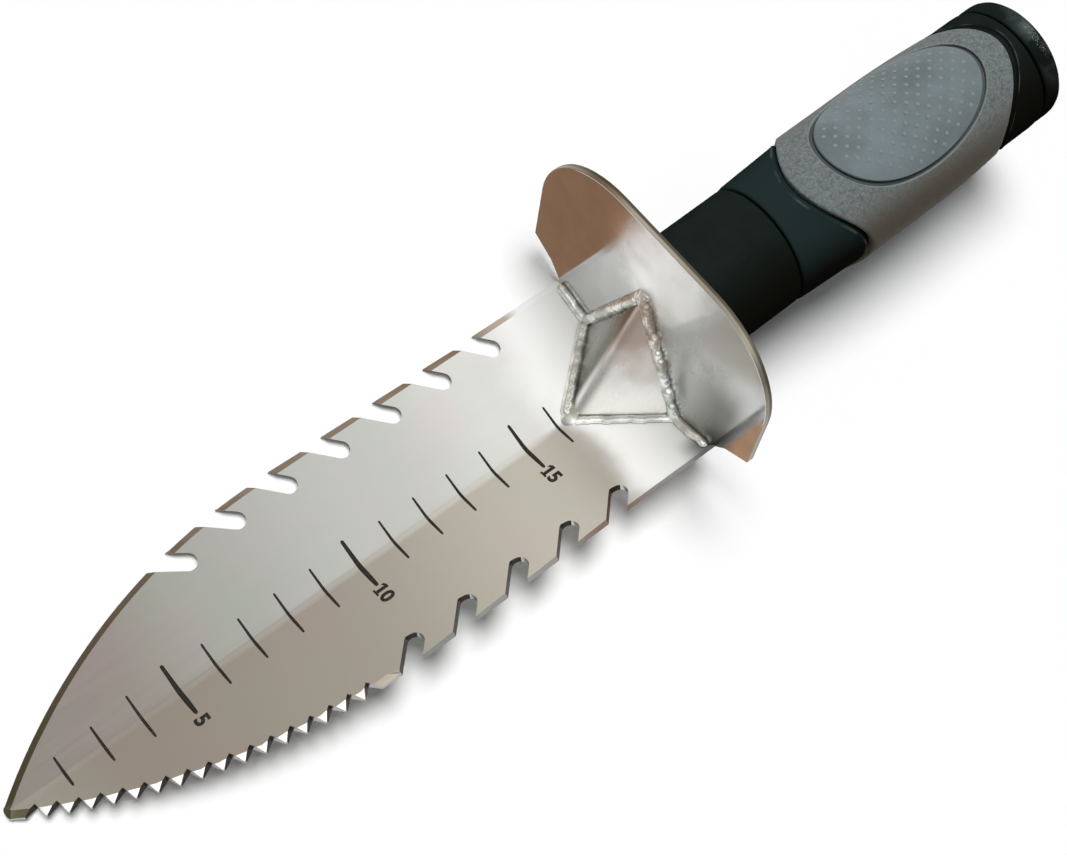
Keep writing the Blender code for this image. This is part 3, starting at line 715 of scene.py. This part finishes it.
def numeral_outline(number, vertices, faces):
    """A number at the lower end of a long stroke, running on outwards with its head to the handle."""
    text = bpy.data.curves.new("numeral", "FONT")
    carrier = linked("numeral", configured(text, body=str(number), offset=NUMERAL_BOLD))
    bpy.context.view_layer.update()
    flat = bpy.data.meshes.new_from_object(carrier.evaluated_get(bpy.context.evaluated_depsgraph_get()))
    bpy.data.objects.remove(carrier)
    low = min(vert.co.y for vert in flat.vertices)
    size = max(vert.co.y for vert in flat.vertices) - low
    left = min(vert.co.x for vert in flat.vertices)
    points = [((vert.co.x - left) / size, (vert.co.y - low) / size) for vert in flat.vertices]
    outlines = [tuple(face.vertices) for face in flat.polygons]
    serifs = ONE_SERIFS if str(number).startswith("1") else ()
    for serif in serifs:
        outlines.append(tuple(range(len(points), len(points) + len(serif))))
        points += serif
    base = SCALE_ZERO + number * CENTIMETRE - NUMERAL_HEIGHT / 2
    inner = LONG_MARK_HALF_LENGTH + NUMERAL_CLEARANCE
    start = len(vertices)
    vertices += [on_blade(base + y * NUMERAL_HEIGHT, -inner - x * NUMERAL_HEIGHT) for x, y in points]
    faces += [tuple(start + index for index in outline) for outline in outlines]


def make_marks(look):
    vertices, faces = [], []
    for number in range(FIRST_MARK, LAST_MARK + 1):
        mark_outline(number, vertices, faces)
        if number in LONG_MARK_WIDTHS:
            numeral_outline(number, vertices, faces)
    marks = shaped("scale_marks", vertices, faces, KNIFE)
    configured(marks.modifiers.new("ink", "SOLIDIFY"), thickness=2 * MARK_THICKNESS, offset=0)
    dress(marks, look)


# Guard and brace

RIM_LIMIT = 0.5


def make_guard(look):
    guard = copied("guard_plate", "guard")
    with reshaping(guard.data) as shape:
        rim = shape.faces.layers.float.new("rim")
        for face in shape.faces:
            face[rim] = abs(face.normal.x) < RIM_LIMIT
            face.smooth = face[rim] > 0
    dress(guard, look, ["guard"])
    eased(guard, GUARD_ARRIS)


BRACE_BASE = Vector((-GAP, 0, GAP / COS_FOLD))
BRACE_FRONT = BRACE_BASE + Vector((-BRACE_LENGTH, 0, 0))
BRACE_TOP = BRACE_BASE + Vector((0, BRACE_TOP_SHIFT, BRACE_HEIGHT))
BRACE_LEFT = BRACE_BASE + Vector((0, BRACE_HALF_WIDTH, BRACE_HALF_WIDTH * TAN_FOLD))
BRACE_RIGHT = BRACE_BASE + Vector((0, -BRACE_HALF_WIDTH, BRACE_HALF_WIDTH * TAN_FOLD))
LEFT_FACET = (BRACE_TOP - BRACE_FRONT).cross(BRACE_LEFT - BRACE_FRONT).normalized()
RIGHT_FACET = (BRACE_RIGHT - BRACE_FRONT).cross(BRACE_TOP - BRACE_FRONT).normalized()
RIDGE_STEPS = 16
FACET_STEPS = 14


def make_brace(look):
    """A plate folded over a soft ridge from the blade's crease up to the guard."""
    inward = -(LEFT_FACET + RIGHT_FACET).normalized()
    slope = sqrt(1 - LEFT_FACET.dot(-inward) ** 2)
    ridge = (BRACE_TOP - BRACE_FRONT).normalized()
    vertices = []
    for step in range(RIDGE_STEPS + 1):
        start = BRACE_FRONT.lerp(BRACE_TOP, step / RIDGE_STEPS)
        for side in range(-FACET_STEPS, FACET_STEPS + 1):
            foot = BRACE_LEFT if side > 0 else BRACE_RIGHT
            point = start.lerp(foot, (side / FACET_STEPS) ** 2)
            short = max(RIDGE_ROUNDING - (point - BRACE_FRONT).cross(ridge).length, 0)
            vertices.append(point + inward * slope * short ** 2 / (2 * RIDGE_ROUNDING))
    row = 2 * FACET_STEPS + 1
    faces = []
    for step in range(RIDGE_STEPS):
        for side in range(row - 1):
            first = step * row + side
            faces.append((first, first + 1, first + row + 1, first + row))
    brace = shaped("brace_plate", vertices, faces, KNIFE)
    configured(brace.modifiers.new("wall", "SOLIDIFY"), thickness=BRACE_THICKNESS, offset=-1)
    dress(brace, look, ["brace"])


# Weld beads. A ripple is how deep a run's waves are and how uneven it is, and their pitch where it differs

BEAD_SEEDS = {"left": 11, "right": 31, "rear": 51}
BEAD_LIFT = 0.25
BEAD_OUT = 0.0003
BEAD_STEP = 0.00012
BEAD_SIDES = 24
BEAD_END = 0.01
BEAD_WANDER = 0.00020
BEAD_WAVES = ((800, 0.5), (1500, 0.3), (2700, 0.2))
TOE_START = 0.92
RIPPLE_PITCH = 0.0010
RIPPLE_BOW = 0.0007
BLADE_BEADS = {"left": 0.0017, "right": 0.00105}
BLADE_RIPPLE = (0.012, 0.07)
GUARD_BEAD = 0.0015
GUARD_RIPPLES = {"left": (0.02, 0.06), "right": (0.15, 0.14, 0.0056)}
SEAM_BEAD = 0.0014
SEAM_RIPPLE = (0.02, 0.08)
REAR_RIPPLE = (0.06, 0.10)
PUDDLE_RINGS = 12
PUDDLE_SIDES = 24
PUDDLE_HEIGHT = 0.6
PUDDLE_POLE = 0.02
PUDDLE_LUMPS = (0.12, 0.08)
PUDDLE = 0.0019
FRONT_PUDDLE = 0.0028
FRONT_PUDDLE_BACK = 0.0011
FRONT_INSET = 0.0004
TOP_REACH = 1.9


class Bead:
    """Weld metal along one corner, made up of rippled runs and of puddles where runs meet."""

    def __init__(self, seed):
        self.draw = random.Random(seed)
        self.vertices, self.faces, self.toes = [], [], []

    def skin(self, start, rows, sides):
        """Faces over rows of points, each row a ring, with both ends closed."""
        last = start + (rows - 1) * sides
        self.faces += [tuple(range(first, first + sides)) for first in (start, last)]
        for first in range(start, last, sides):
            self.faces += ring_faces(first, first + sides, sides)

    def run(self, route, normals, size, depth, uneven, pitch=RIPPLE_PITCH):
        """A run between two points in the corner between faces with these normals, its ends rounded."""
        start, end = route
        along = (end - start).normalized()
        length = (end - start).length
        out = (normals[0] + normals[1]).normalized()
        side = along.cross(out)
        lean = out.angle(normals[0])
        toe_angle = acos(-BEAD_LIFT * cos(lean)) - lean
        waves = [(pace, share, self.draw.uniform(0, tau)) for pace, share in BEAD_WAVES]
        count = int(length / BEAD_STEP)
        first = len(self.vertices)
        for step in range(count + 1):
            reach = length * step / count
            close = min(reach, length - reach) / size
            cap = sqrt(max(1 - max(1 - close, 0) ** 2, BEAD_END ** 2))
            swing = sum(share * sin(reach * pace + offset) for pace, share, offset in waves)
            middle = start + along * reach + out * BEAD_LIFT * size + side * BEAD_WANDER * swing
            for turn in turns(BEAD_SIDES):
                phase = (reach + RIPPLE_BOW * (1 - cos(turn))) / pitch
                dip = (2 * (phase % 1) - 1) ** 2
                radius = size * cap * (1 + uneven * swing - depth * dip)
                self.vertices.append(middle + (out * cos(turn) + side * sin(turn)) * radius)
                # Share of painted shade, rising towards the toes where the bead meets the plates.
                low = abs(remainder(turn, tau)) / toe_angle
                self.toes.append(between(low, TOE_START, 1))
        self.skin(first, count + 1, BEAD_SIDES)

    def puddle(self, middle, out, size):
        """A low uneven dome of metal over a place where runs meet."""
        first = len(self.vertices)
        upright = out.to_track_quat("Z", "Y").to_matrix()
        drift = [self.draw.uniform(0, tau) for _ in BEAD_WAVES]
        for ring in range(PUDDLE_RINGS + 1):
            slope = pi * (ring + PUDDLE_POLE) / (PUDDLE_RINGS + 2 * PUDDLE_POLE)
            for turn in turns(PUDDLE_SIDES):
                lump = 1 + PUDDLE_LUMPS[0] * sin(2 * turn + drift[0])
                lump += PUDDLE_LUMPS[1] * sin(3 * turn + 2 * slope + drift[1])
                flat = size * lump * sin(slope)
                high = size * PUDDLE_HEIGHT * cos(slope)
                place = Vector((flat * cos(turn), flat * sin(turn), high))
                self.vertices.append(middle + upright @ place)
                self.toes.append(0)
        self.skin(first, PUDDLE_RINGS + 1, PUDDLE_SIDES)

    def made(self, node, look):
        piece = shaped("rippled_" + node, self.vertices, self.faces, KNIFE, toe=self.toes)
        dress(piece, look, [node])


def moved_out(start, end, face, facet):
    """The ends of a bead by the brace, moved out over the face it lies on, and the way between them."""
    out = (facet - face * facet.dot(face)).normalized() * BEAD_OUT
    return start + out, end + out, (end - start).normalized()


def make_welds(look):
    neck = LEFT_HALF_WIDTH * COS_FOLD - GUARD_NECK_INSET
    forward = Vector((-1, 0, 0))
    over = Vector((0, 0, GAP / COS_FOLD))
    heel = Vector((GUARD_THICKNESS + GAP, 0, 0)) + over
    rear = Bead(BEAD_SEEDS["rear"])
    for name, sign, foot, facet in (
        ("left", 1, BRACE_LEFT, LEFT_FACET),
        ("right", -1, BRACE_RIGHT, RIGHT_FACET),
    ):
        seed = BEAD_SEEDS[name]
        wing = Vector((0, -sign * SIN_FOLD, COS_FOLD))
        edge = Vector((0, sign * neck, neck * TAN_FOLD))

        blade_bead = Bead(seed)
        start, end, along = moved_out(BRACE_FRONT, foot, wing, facet)
        blade_bead.run((start + along * FRONT_INSET, end), (wing, facet), BLADE_BEADS[name], *BLADE_RIPPLE)
        if name == "left":
            middle = start + Vector((FRONT_PUDDLE_BACK, 0, 0))
            blade_bead.puddle(middle, (wing + facet).normalized(), FRONT_PUDDLE)
        blade_bead.made("brace_weld_blade_" + name, look)

        guard_bead = Bead(seed + 1)
        start, end, along = moved_out(foot, BRACE_TOP, forward, facet)
        top = end + along * BEAD_OUT * TOP_REACH
        guard_bead.run((start, top), (forward, facet), GUARD_BEAD, *GUARD_RIPPLES[name])
        guard_bead.puddle(end, (forward + facet).normalized(), PUDDLE)
        guard_bead.made("brace_weld_guard_" + name, look)

        seam = Bead(seed + 2)
        seam.run((foot, Vector((-GAP, 0, 0)) + edge + over), (forward, wing), SEAM_BEAD, *SEAM_RIPPLE)
        seam.puddle(foot, (forward + wing + facet).normalized(), PUDDLE)
        seam.made("seam_weld_" + name, look)

        rear.run((heel, heel + edge), (-forward, wing), SEAM_BEAD, *REAR_RIPPLE)
    rear.made("seam_weld_rear", look)


# Handle

def on_grip(along, turn, radius):
    """A point at a distance along the handle, turned from its upper side towards the left wing."""
    return Vector((-radius * cos(turn), radius * sin(turn), along))


FILLET_STEPS = 5


def filleted(corners, rounding):
    """A closed outline of (radius, along) corners with each corner that has a rounding made into an arc."""
    outline = []
    count = len(corners)
    for index, corner in enumerate(corners):
        size = rounding.get(index, 0)
        here = Vector(corner)
        back = Vector(corners[index - 1]) - here
        ahead = Vector(corners[(index + 1) % count]) - here
        if not size:
            outline.append(here)
            continue
        size = min(size, back.length / 2, ahead.length / 2)
        first = here + back.normalized() * size
        last = here + ahead.normalized() * size
        for step in range(FILLET_STEPS + 1):
            share = step / FILLET_STEPS
            outline.append(first * (1 - share) ** 2 + here * 2 * share * (1 - share) + last * share ** 2)
    return outline


def make_sleeve(name, node, look, corners, rounding, shift, worn):
    """A closed ring round the handle with this section, each point shifted along the handle as it turns."""
    outline = filleted(corners, rounding)
    vertices, faces, highlit = [], [], []
    for radius, along in outline:
        for turn in turns(TURN_STEPS):
            vertices.append(on_grip(along + shift(along, turn, radius), turn, radius))
            highlit.append(worn(along, turn, radius))
    for row in range(len(outline)):
        ahead = (row + 1) % len(outline)
        faces += ring_faces(row * TURN_STEPS, ahead * TURN_STEPS, TURN_STEPS)
    dress(shaped(name, vertices, faces, HANDLE, worn=highlit), look, [node])


def nowhere(along, turn, radius):
    return 0


def meets_guard(along, turn, radius):
    """Slants the front end of the collar to lie along the guard."""
    share = max(1 - along / COLLAR_LENGTH, 0)
    return share * radius * cos(turn) * tan(HANDLE_RISE)


def follows_lobes(along, turn, radius):
    """Bends the core's bands along the edges of the grey shell, which draw back at the sides."""
    lip = SHELL_START - 2 * LIP_OFFSET
    rear_lip = SHELL_END + REAR_CHANNEL + LIP_OFFSET / 2
    front = between(along, GRIP_START, lip) * between(along, PAD_CENTRE, SHELL_START)
    rear = between(along, GRIP_END, rear_lip) * between(along, PAD_CENTRE, SHELL_END)
    return sin(turn) ** 2 * (FRONT_WAVE * front - REAR_WAVE * rear)


def make_collar(look):
    corners = [
        (BORE_RADIUS, GAP),
        (COLLAR_RADIUS, GAP),
        (COLLAR_RADIUS, COLLAR_LENGTH),
        (COLLAR_RADIUS - JOINT_DEPTH, COLLAR_LENGTH),
        (COLLAR_RADIUS - JOINT_DEPTH, GRIP_START - JOINT_CLEARANCE),
        (BORE_RADIUS, GRIP_START - JOINT_CLEARANCE),
    ]
    rounding = {1: SLEEVE_ROUNDING, 2: SLEEVE_ROUNDING}
    make_sleeve("collar_sleeve", "front_collar", look, corners, rounding, meets_guard, nowhere)


def make_core(look):
    """Black sleeve, with a raised lip and a channel along each edge of the grey shell."""
    front = CORE_RADIUS + BAND_FRONT_STEP
    crest = front + BAND_SWELL
    rear = CORE_RADIUS + BAND_REAR_STEP
    channel = SHELL_START - LIP_OFFSET
    rear_lip = SHELL_END + REAR_CHANNEL
    corners = [
        (BORE_RADIUS, GRIP_START),
        (front, GRIP_START),
        (crest, channel - LIP_OFFSET),
        (crest + LIP_HEIGHT, channel - LIP_OFFSET / 2),
        (crest, channel),
        (crest - CHANNEL_DEPTH, channel + LIP_OFFSET / 4),
        (crest - CHANNEL_DEPTH, SHELL_START - LIP_OFFSET / 4),
        (CORE_RADIUS, SHELL_START),
        (CORE_RADIUS, SHELL_END),
        (rear - CHANNEL_DEPTH, SHELL_END + LIP_OFFSET / 4),
        (rear - CHANNEL_DEPTH, rear_lip - LIP_OFFSET / 4),
        (rear, rear_lip),
        (rear + LIP_HEIGHT, rear_lip + LIP_OFFSET / 4),
        (rear, rear_lip + LIP_OFFSET / 2),
        (rear, GRIP_END),
        (rear - JOINT_DEPTH, GRIP_END),
        (rear - JOINT_DEPTH, CAP_START - JOINT_CLEARANCE),
        (BORE_RADIUS, CAP_START - JOINT_CLEARANCE),
    ]
    rounding = {index: LIP_OFFSET for index in range(2, 14)}
    rounding.update({1: SLEEVE_ROUNDING, 14: SLEEVE_ROUNDING})

    def lips(along, turn, radius):
        """The crests of both lips get a painted highlight."""
        base = crest if along < PAD_CENTRE else rear
        low, high = (base + share * LIP_HEIGHT for share in LIP_HIGHLIGHT_RISE)
        return LIP_HIGHLIGHT * between(radius, low, high)

    make_sleeve("core_sleeve", "grip_core", look, corners, rounding, follows_lobes, lips)


def make_cap(look):
    """Cap with a rounded rim and a plug that fits the tube."""
    end = CAP_START + CAP_LENGTH
    corners = [
        (0, CAP_START - SPIGOT_LENGTH),
        (SPIGOT_RADIUS, CAP_START - SPIGOT_LENGTH),
        (SPIGOT_RADIUS, CAP_START),
        (CAP_RADIUS, CAP_START),
        (CAP_RADIUS, end),
        (0, end),
    ]

    def rim(along, turn, radius):
        """A painted highlight on the rounded rim's upper right, where the rim is scuffed."""
        side = max(cos(turn + CAP_HIGHLIGHT_TURN), 0) ** CAP_HIGHLIGHT_FOCUS
        rise = between(along, CAP_START, end - CAP_ROUNDING)
        return side * rise * between(radius, CAP_RADIUS - CAP_HIGHLIGHT_DEPTH, CAP_RADIUS)

    rounding = {3: SLEEVE_ROUNDING, 4: CAP_ROUNDING}
    make_sleeve("cap_turned", "end_cap", look, corners, rounding, nowhere, rim)


# Grey shell of the grip, with an oval recess above and below

RIM_STEPS = 72
SIDE_STEPS = 40
RECESS_SHARES = (0, 0.4, 0.8)
GROOVE_STEPS = (0, 0.00005, 0.00012, 0.0002, 0.0003)
# Shares of painted highlight over the rounded lip round the oval.
OVAL_HIGHLIGHT = (0.3, 0.8, 1, 0.8, 0)
SPAN_SHARES = (0.2, 0.35, 0.5, 0.65, 0.8)
RIM_OFFSETS = (0.0012, 0.0008, 0.0005, 0.0003, 0.00015, 0.00005, 0)


def shell_edges(turn):
    """Where the shell begins and ends along the handle at this turn from its upper or lower middle."""
    lobe = sin(turn) ** 2
    return SHELL_START + FRONT_WAVE * lobe, SHELL_END - REAR_WAVE * lobe


def rounded_off(distance, size):
    """How far a rounded edge has dropped at a distance in from it."""
    short = max(size - distance, 0)
    return size - sqrt(max(size ** 2 - short ** 2, 0))


def crown(along, turn):
    """Radius of the shell, which thins towards its rear edge."""
    rear = shell_edges(turn)[1]
    return SHELL_RADIUS - SHELL_DROP * between(along, PAD_CENTRE, rear) ** 2


def on_shell(along, turn, half_turn, sink):
    front, rear = shell_edges(turn)
    edge = rounded_off(min(along - front, rear - along), SHELL_ROUNDING)
    return on_grip(along, turn + half_turn, crown(along, turn) - sink - edge)


def shell_rim():
    """Points (along, turn) once round the upper half of the shell: front edge, side, rear edge, side."""
    quarter = pi / 2
    front, rear = shell_edges(quarter)
    ends = [quarter * (2 * step / RIM_STEPS - 1) for step in range(RIM_STEPS)]
    sides = [step / SIDE_STEPS for step in range(SIDE_STEPS)]
    rim = [(shell_edges(turn)[0], turn) for turn in ends]
    rim += [(front + (rear - front) * share, quarter) for share in sides]
    rim += [(shell_edges(turn)[1], -turn) for turn in ends]
    rim += [(rear - (rear - front) * share, -quarter) for share in sides]
    return rim


def partway(start, end, share):
    """A place (along, turn) at a share of the way between two others."""
    return [first + (last - first) * share for first, last in zip(start, end)]


def half_shell(half_turn, vertices, faces, groove, worn):
    """Adds one half of the shell: its recess, the rounded oval round that, and the way out to its edges."""
    rim = shell_rim()
    count = len(rim)
    start = len(vertices)
    length = PAD_HALF_LENGTH + PAD_GROOVE
    width = (PAD_HALF_WIDTH + PAD_GROOVE) / SHELL_RADIUS
    columns = []
    for along, turn in rim:
        heading = atan2((turn - PAD_TURN) / width, (along - PAD_CENTRE) / length)
        oval = PAD_CENTRE + length * cos(heading), PAD_TURN + width * sin(heading)
        span = hypot(along - oval[0], (turn - oval[1]) * SHELL_RADIUS)
        stations = [(GROOVE_STEPS[0], RECESS_DEPTH)]
        stations += [(step, rounded_off(step, GROOVE_STEPS[-1])) for step in GROOVE_STEPS]
        stations += [(span * share, 0) for share in SPAN_SHARES]
        stations += [(span - offset, 0) for offset in RIM_OFFSETS]
        inside = [(partway((PAD_CENTRE, PAD_TURN), oval, share), RECESS_DEPTH) for share in RECESS_SHARES]
        outside = [(partway(oval, (along, turn), reach / span), sink) for reach, sink in stations]
        column = [on_shell(*place, half_turn, sink) for place, sink in inside + outside]
        columns.append(column + [on_grip(along, turn + half_turn, SHELL_BORE)])
    depth = len(columns[0])
    floor = len(RECESS_SHARES) + 1
    rest = depth - floor - len(OVAL_HIGHLIGHT)
    for column in columns:
        vertices += column
        groove += [1] * floor + [0] * (depth - floor)
        worn += [0] * floor + list(OVAL_HIGHLIGHT) + [0] * rest
    rear_end = 2 * RIM_STEPS + SIDE_STEPS
    sides = range(RIM_STEPS, RIM_STEPS + SIDE_STEPS), range(rear_end, count)
    for index in range(count):
        here = start + index * depth
        ahead = start + (index + 1) % count * depth
        on_side = any(index in side for side in sides)
        for row in range(depth - 2 if on_side else depth - 1):
            faces.append((here + row, ahead + row, ahead + row + 1, here + row + 1))
    for index in range(RIM_STEPS):
        front = [start + (index + step + 1) * depth - 1 for step in (0, 1)]
        rear = [start + ((rear_end - index - step) % count + 1) * depth - 1 for step in (1, 0)]
        faces.append((*front, *rear))


def make_shell(look):
    vertices, faces, groove, worn = [], [], [], []
    for half_turn in (0, pi):
        half_shell(half_turn, vertices, faces, groove, worn)
    shell = shaped("overmould_shell", vertices, faces, HANDLE, groove=groove, worn=worn)
    dress(shell, look, ["grip_overmould"])


# Oval pads with raised dots

PAD_STEPS = 96
PAD_SHARES = (0, 0.25, 0.5, 0.7, 0.85, 0.93, 0.97, 0.99, 1)
PAD_DOME = 0.0002
PAD_ROUNDING = 0.0003
DOT_PITCH = 0.00193
DOT_SHIFT = (0.0015, -0.0004)
DOT_RADIUS = 0.00058
DOT_HEIGHT = 0.00012
DOT_SIDES = 12
DOT_RINGS = ((1, -1), (1, 0), (0.7, 0.7))
DOT_LIMIT = 0.90


def pad_top_radius(along, turn):
    """Radius of a pad's upper face: a low dome over the shell."""
    length = (along - PAD_CENTRE) / PAD_HALF_LENGTH
    width = (turn - PAD_TURN) * SHELL_RADIUS / PAD_HALF_WIDTH
    inside = max(1 - length ** 2 - width ** 2, 0)
    edge = rounded_off(PAD_HALF_WIDTH * (1 - sqrt(1 - inside)), PAD_ROUNDING)
    return crown(along, turn) + PAD_PROUD + PAD_DOME * inside - edge


def dot(along, turn, half_turn, vertices, faces, raised):
    """Adds one low dome, closed underneath."""
    start = len(vertices)
    top = start + 2 * DOT_SIDES
    raised += [0] * (2 * DOT_SIDES) + [1] * (DOT_SIDES + 1)
    base = pad_top_radius(along, turn)
    for wide, high in DOT_RINGS:
        for angle in turns(DOT_SIDES):
            place = along + wide * DOT_RADIUS * cos(angle)
            turned = turn + wide * DOT_RADIUS * sin(angle) / SHELL_RADIUS
            vertices.append(on_grip(place, turned + half_turn, base + high * DOT_HEIGHT))
    vertices.append(on_grip(along, turn + half_turn, base + DOT_HEIGHT))
    faces.append(tuple(range(start, start + DOT_SIDES)))
    for ring in range(start, top, DOT_SIDES):
        faces += ring_faces(ring, ring + DOT_SIDES, DOT_SIDES)
    faces += [(top + corner, top + (corner + 1) % DOT_SIDES, top + DOT_SIDES) for corner in range(DOT_SIDES)]


def make_pad(name, node, half_turn, look):
    """An oval pad in the shell's recess, with rows of dots on it."""
    vertices, faces = [], []
    rows = [(share, None) for share in PAD_SHARES] + [(1, RECESS_DEPTH - GAP), (0, RECESS_DEPTH - GAP)]
    for share, sink in rows:
        for heading in turns(PAD_STEPS):
            along = PAD_CENTRE + PAD_HALF_LENGTH * share * cos(heading)
            turn = PAD_TURN + PAD_HALF_WIDTH * share * sin(heading) / SHELL_RADIUS
            radius = pad_top_radius(along, turn) if sink is None else crown(along, turn) - sink
            vertices.append(on_grip(along, turn + half_turn, radius))
    raised = [0] * len(vertices)
    for row in range(len(rows) - 1):
        faces += ring_faces(row * PAD_STEPS, (row + 1) * PAD_STEPS, PAD_STEPS)
    rows_out = int(PAD_HALF_WIDTH / DOT_PITCH) + 1
    dots_out = int(PAD_HALF_LENGTH / DOT_PITCH / 2) + 1
    for row in range(-rows_out, rows_out + 1):
        for number in range(-dots_out, dots_out + 1):
            along = DOT_SHIFT[0] + (2 * number + row % 2) * DOT_PITCH
            across = DOT_SHIFT[1] + row * DOT_PITCH
            if hypot(along / PAD_HALF_LENGTH, across / PAD_HALF_WIDTH) < DOT_LIMIT:
                turn = PAD_TURN + across / SHELL_RADIUS
                dot(PAD_CENTRE + along, turn, half_turn, vertices, faces, raised)
    dress(shaped(name, vertices, faces, HANDLE, raised=raised), look, [node])


# Stage, light and camera

FLOOR_HALF = 6.0
FLOOR_DROP = 0.0002
SUN_STRENGTH = 2.95
SUN_ANGLE = radians(30)
SUN_FROM = Vector((0.07, 0.25, 1.0))
SKY_DIFFUSE = 0.12
SKY_BASE = 0.33
SKY_TOWARDS_GRIP = 1.6
SKY_TOWARDS_TIP = 1.1
SKY_TOWARDS_LEFT = 0.16
SKY_END = 0.55
SKY_SAW_ACROSS = (-0.12, -0.45)
SKY_SAW_HEIGHT = (0.4, 0.8)
SKY_STRIP_RISE = (0.1, 0.28, 0, 0.06)
SKY_STRIP_FALL = (0.62, 0.42)
SKY_LEFT = (0.3, 0.8)
SKY_LOW = (0.30, 0.02)
CARDS = (
    ("card_left", (0.37, 0.20, 0.112), 0.05, 0.0235, 0.1035),
    ("card_right", (0.54, 0.315, 0.190), 0.027, -0.115, -0.035),
)
CARD_SHADES = (0.85, 1.15)
CAMERA_PLACE = Vector((-0.18434, -0.13160, 0.40653))
CAMERA_TARGET = Vector((-0.02789, 0.00334, 0))
CAMERA_ROLL = radians(11.09)
CAMERA_LENS = 63.37
SENSOR_WIDTH = 36


def plain_plane(name, low, high, height):
    mesh = bpy.data.meshes.new(name)
    corners = [low, (high[0], low[1]), high, (low[0], high[1])]
    mesh.from_pydata([(x, y, height) for x, y in corners], [], [(0, 1, 2, 3)])
    plane = linked(name, mesh)
    return plane


def make_floor():
    floor = plain_plane("floor", (-FLOOR_HALF, -FLOOR_HALF), (FLOOR_HALF, FLOOR_HALF), -FLOOR_DROP)
    look = Look("floor_paper", KNIFE, {"Specular IOR Level": 0.0, "Roughness": 1.0})
    look.paint(look.mix(look.noise(900, 2), (0.965, 0.965, 0.965), (0.985, 0.985, 0.985)))
    floor.data.materials.append(look.material)


def make_cards():
    """Two brown cards beside the blade, which only show as reflections in the guard's lobes."""
    front = KNIFE.translation.x
    for name, colour, length, right, left in CARDS:
        card = plain_plane(name, (front - length, right), (front, left), -FLOOR_DROP / 2)
        look = Look(name, Matrix(), {"Base Color": (0, 0, 0), "Emission Strength": 1.0})
        grain = look.noise(300, 3, (1, 0.1, 1))
        shades = [[share * part for part in colour] for share in CARD_SHADES]
        look.set("Emission Color", look.mix(grain, *shades))
        card.data.materials.append(look.material)
        for ray in ("camera", "diffuse", "transmission", "shadow"):
            setattr(card, "visible_" + ray, False)


def make_sky():
    """A soft studio round the knife. Metal sees it brighter over the grip and the saw, warm at the left."""
    scene.world = bpy.data.worlds.new("studio")
    scene.world.use_nodes = True
    nodes = Nodes(scene.world.node_tree)
    x, y, z = nodes.add("SeparateXYZ", {0: nodes.add("TexCoord", output="Generated")}).node.outputs
    height = nodes.maths("POWER", nodes.maths("MAXIMUM", z, 0.0), 2.0)
    grip = nodes.ramp(x, 0, SKY_END, 0, SKY_TOWARDS_GRIP)
    tip = nodes.ramp(x, 0, -SKY_END, 0, SKY_TOWARDS_TIP)
    ends = nodes.times(nodes.plus(grip, tip), height)
    saw = nodes.times(nodes.ramp(y, *SKY_SAW_ACROSS), nodes.ramp(z, *SKY_SAW_HEIGHT))
    strip = nodes.times(nodes.ramp(y, *SKY_STRIP_RISE), nodes.ramp(y, *SKY_STRIP_FALL))
    warmth = nodes.ramp(y, *SKY_LEFT)
    left = nodes.ramp(y, *SKY_LEFT, SKY_BASE, SKY_BASE + SKY_TOWARDS_LEFT)
    level = nodes.plus(nodes.plus(ends, saw), nodes.plus(strip, left))
    tint = nodes.mix(warmth, (1, 0.99, 0.96), (1, 0.905, 0.80))
    low = nodes.times(nodes.ramp(z, *SKY_LOW), warmth)
    tint = nodes.mix(low, tint, (0.7, 0.5, 0.36))
    seen = nodes.mix(1.0, tint, level, "MULTIPLY")
    path = nodes.add("LightPath").node.outputs
    mirrored = nodes.maths("MAXIMUM", path["Is Glossy Ray"], path["Is Transmission Ray"])
    colour = nodes.mix(mirrored, (SKY_DIFFUSE, SKY_DIFFUSE, SKY_DIFFUSE), seen)
    colour = nodes.mix(path["Is Camera Ray"], colour, (1, 1, 1))
    nodes.fill(nodes.tree.nodes["Background"].inputs["Color"], colour)


def make_sun():
    sun = configured(bpy.data.lights.new("key", "SUN"), energy=SUN_STRENGTH, angle=SUN_ANGLE)
    lamp = linked("key", sun)
    lamp.rotation_euler = SUN_FROM.to_track_quat("Z", "Y").to_euler()
    lamp.visible_glossy = False


def make_camera():
    data = bpy.data.cameras.new("camera")
    configured(data, lens=CAMERA_LENS, sensor_fit="HORIZONTAL", sensor_width=SENSOR_WIDTH)
    camera = linked("camera", data)
    aim = (CAMERA_TARGET - CAMERA_PLACE).to_track_quat("-Z", "Y").to_matrix().to_4x4()
    aim = aim @ Matrix.Rotation(CAMERA_ROLL, 4, "Z")
    camera.matrix_world = KNIFE @ Matrix.Translation(CAMERA_PLACE) @ aim
    scene.camera = camera


scene.view_settings.view_transform = "Standard"
make_camera()
make_floor()
make_cards()
make_sky()
make_sun()

BEADS = weld_steel()
BLACK = black_rubber()
PAD = pad_rubber()
make_blade(satin_steel())
make_marks(mark_ink())
make_guard(guard_steel())
make_brace(brace_steel())
make_welds(BEADS)
make_collar(BLACK)
make_core(BLACK)
make_shell(grey_rubber())
make_pad("pad_top_insert", "pad_top", 0, PAD)
make_pad("pad_bottom_insert", "pad_bottom", pi, PAD)
make_cap(BLACK)
for node, look in (("handle_tube", tube_steel()), ("tube_weld", BEADS)):
    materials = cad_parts[node].data.materials
    materials.clear()
    materials.append(look.material)
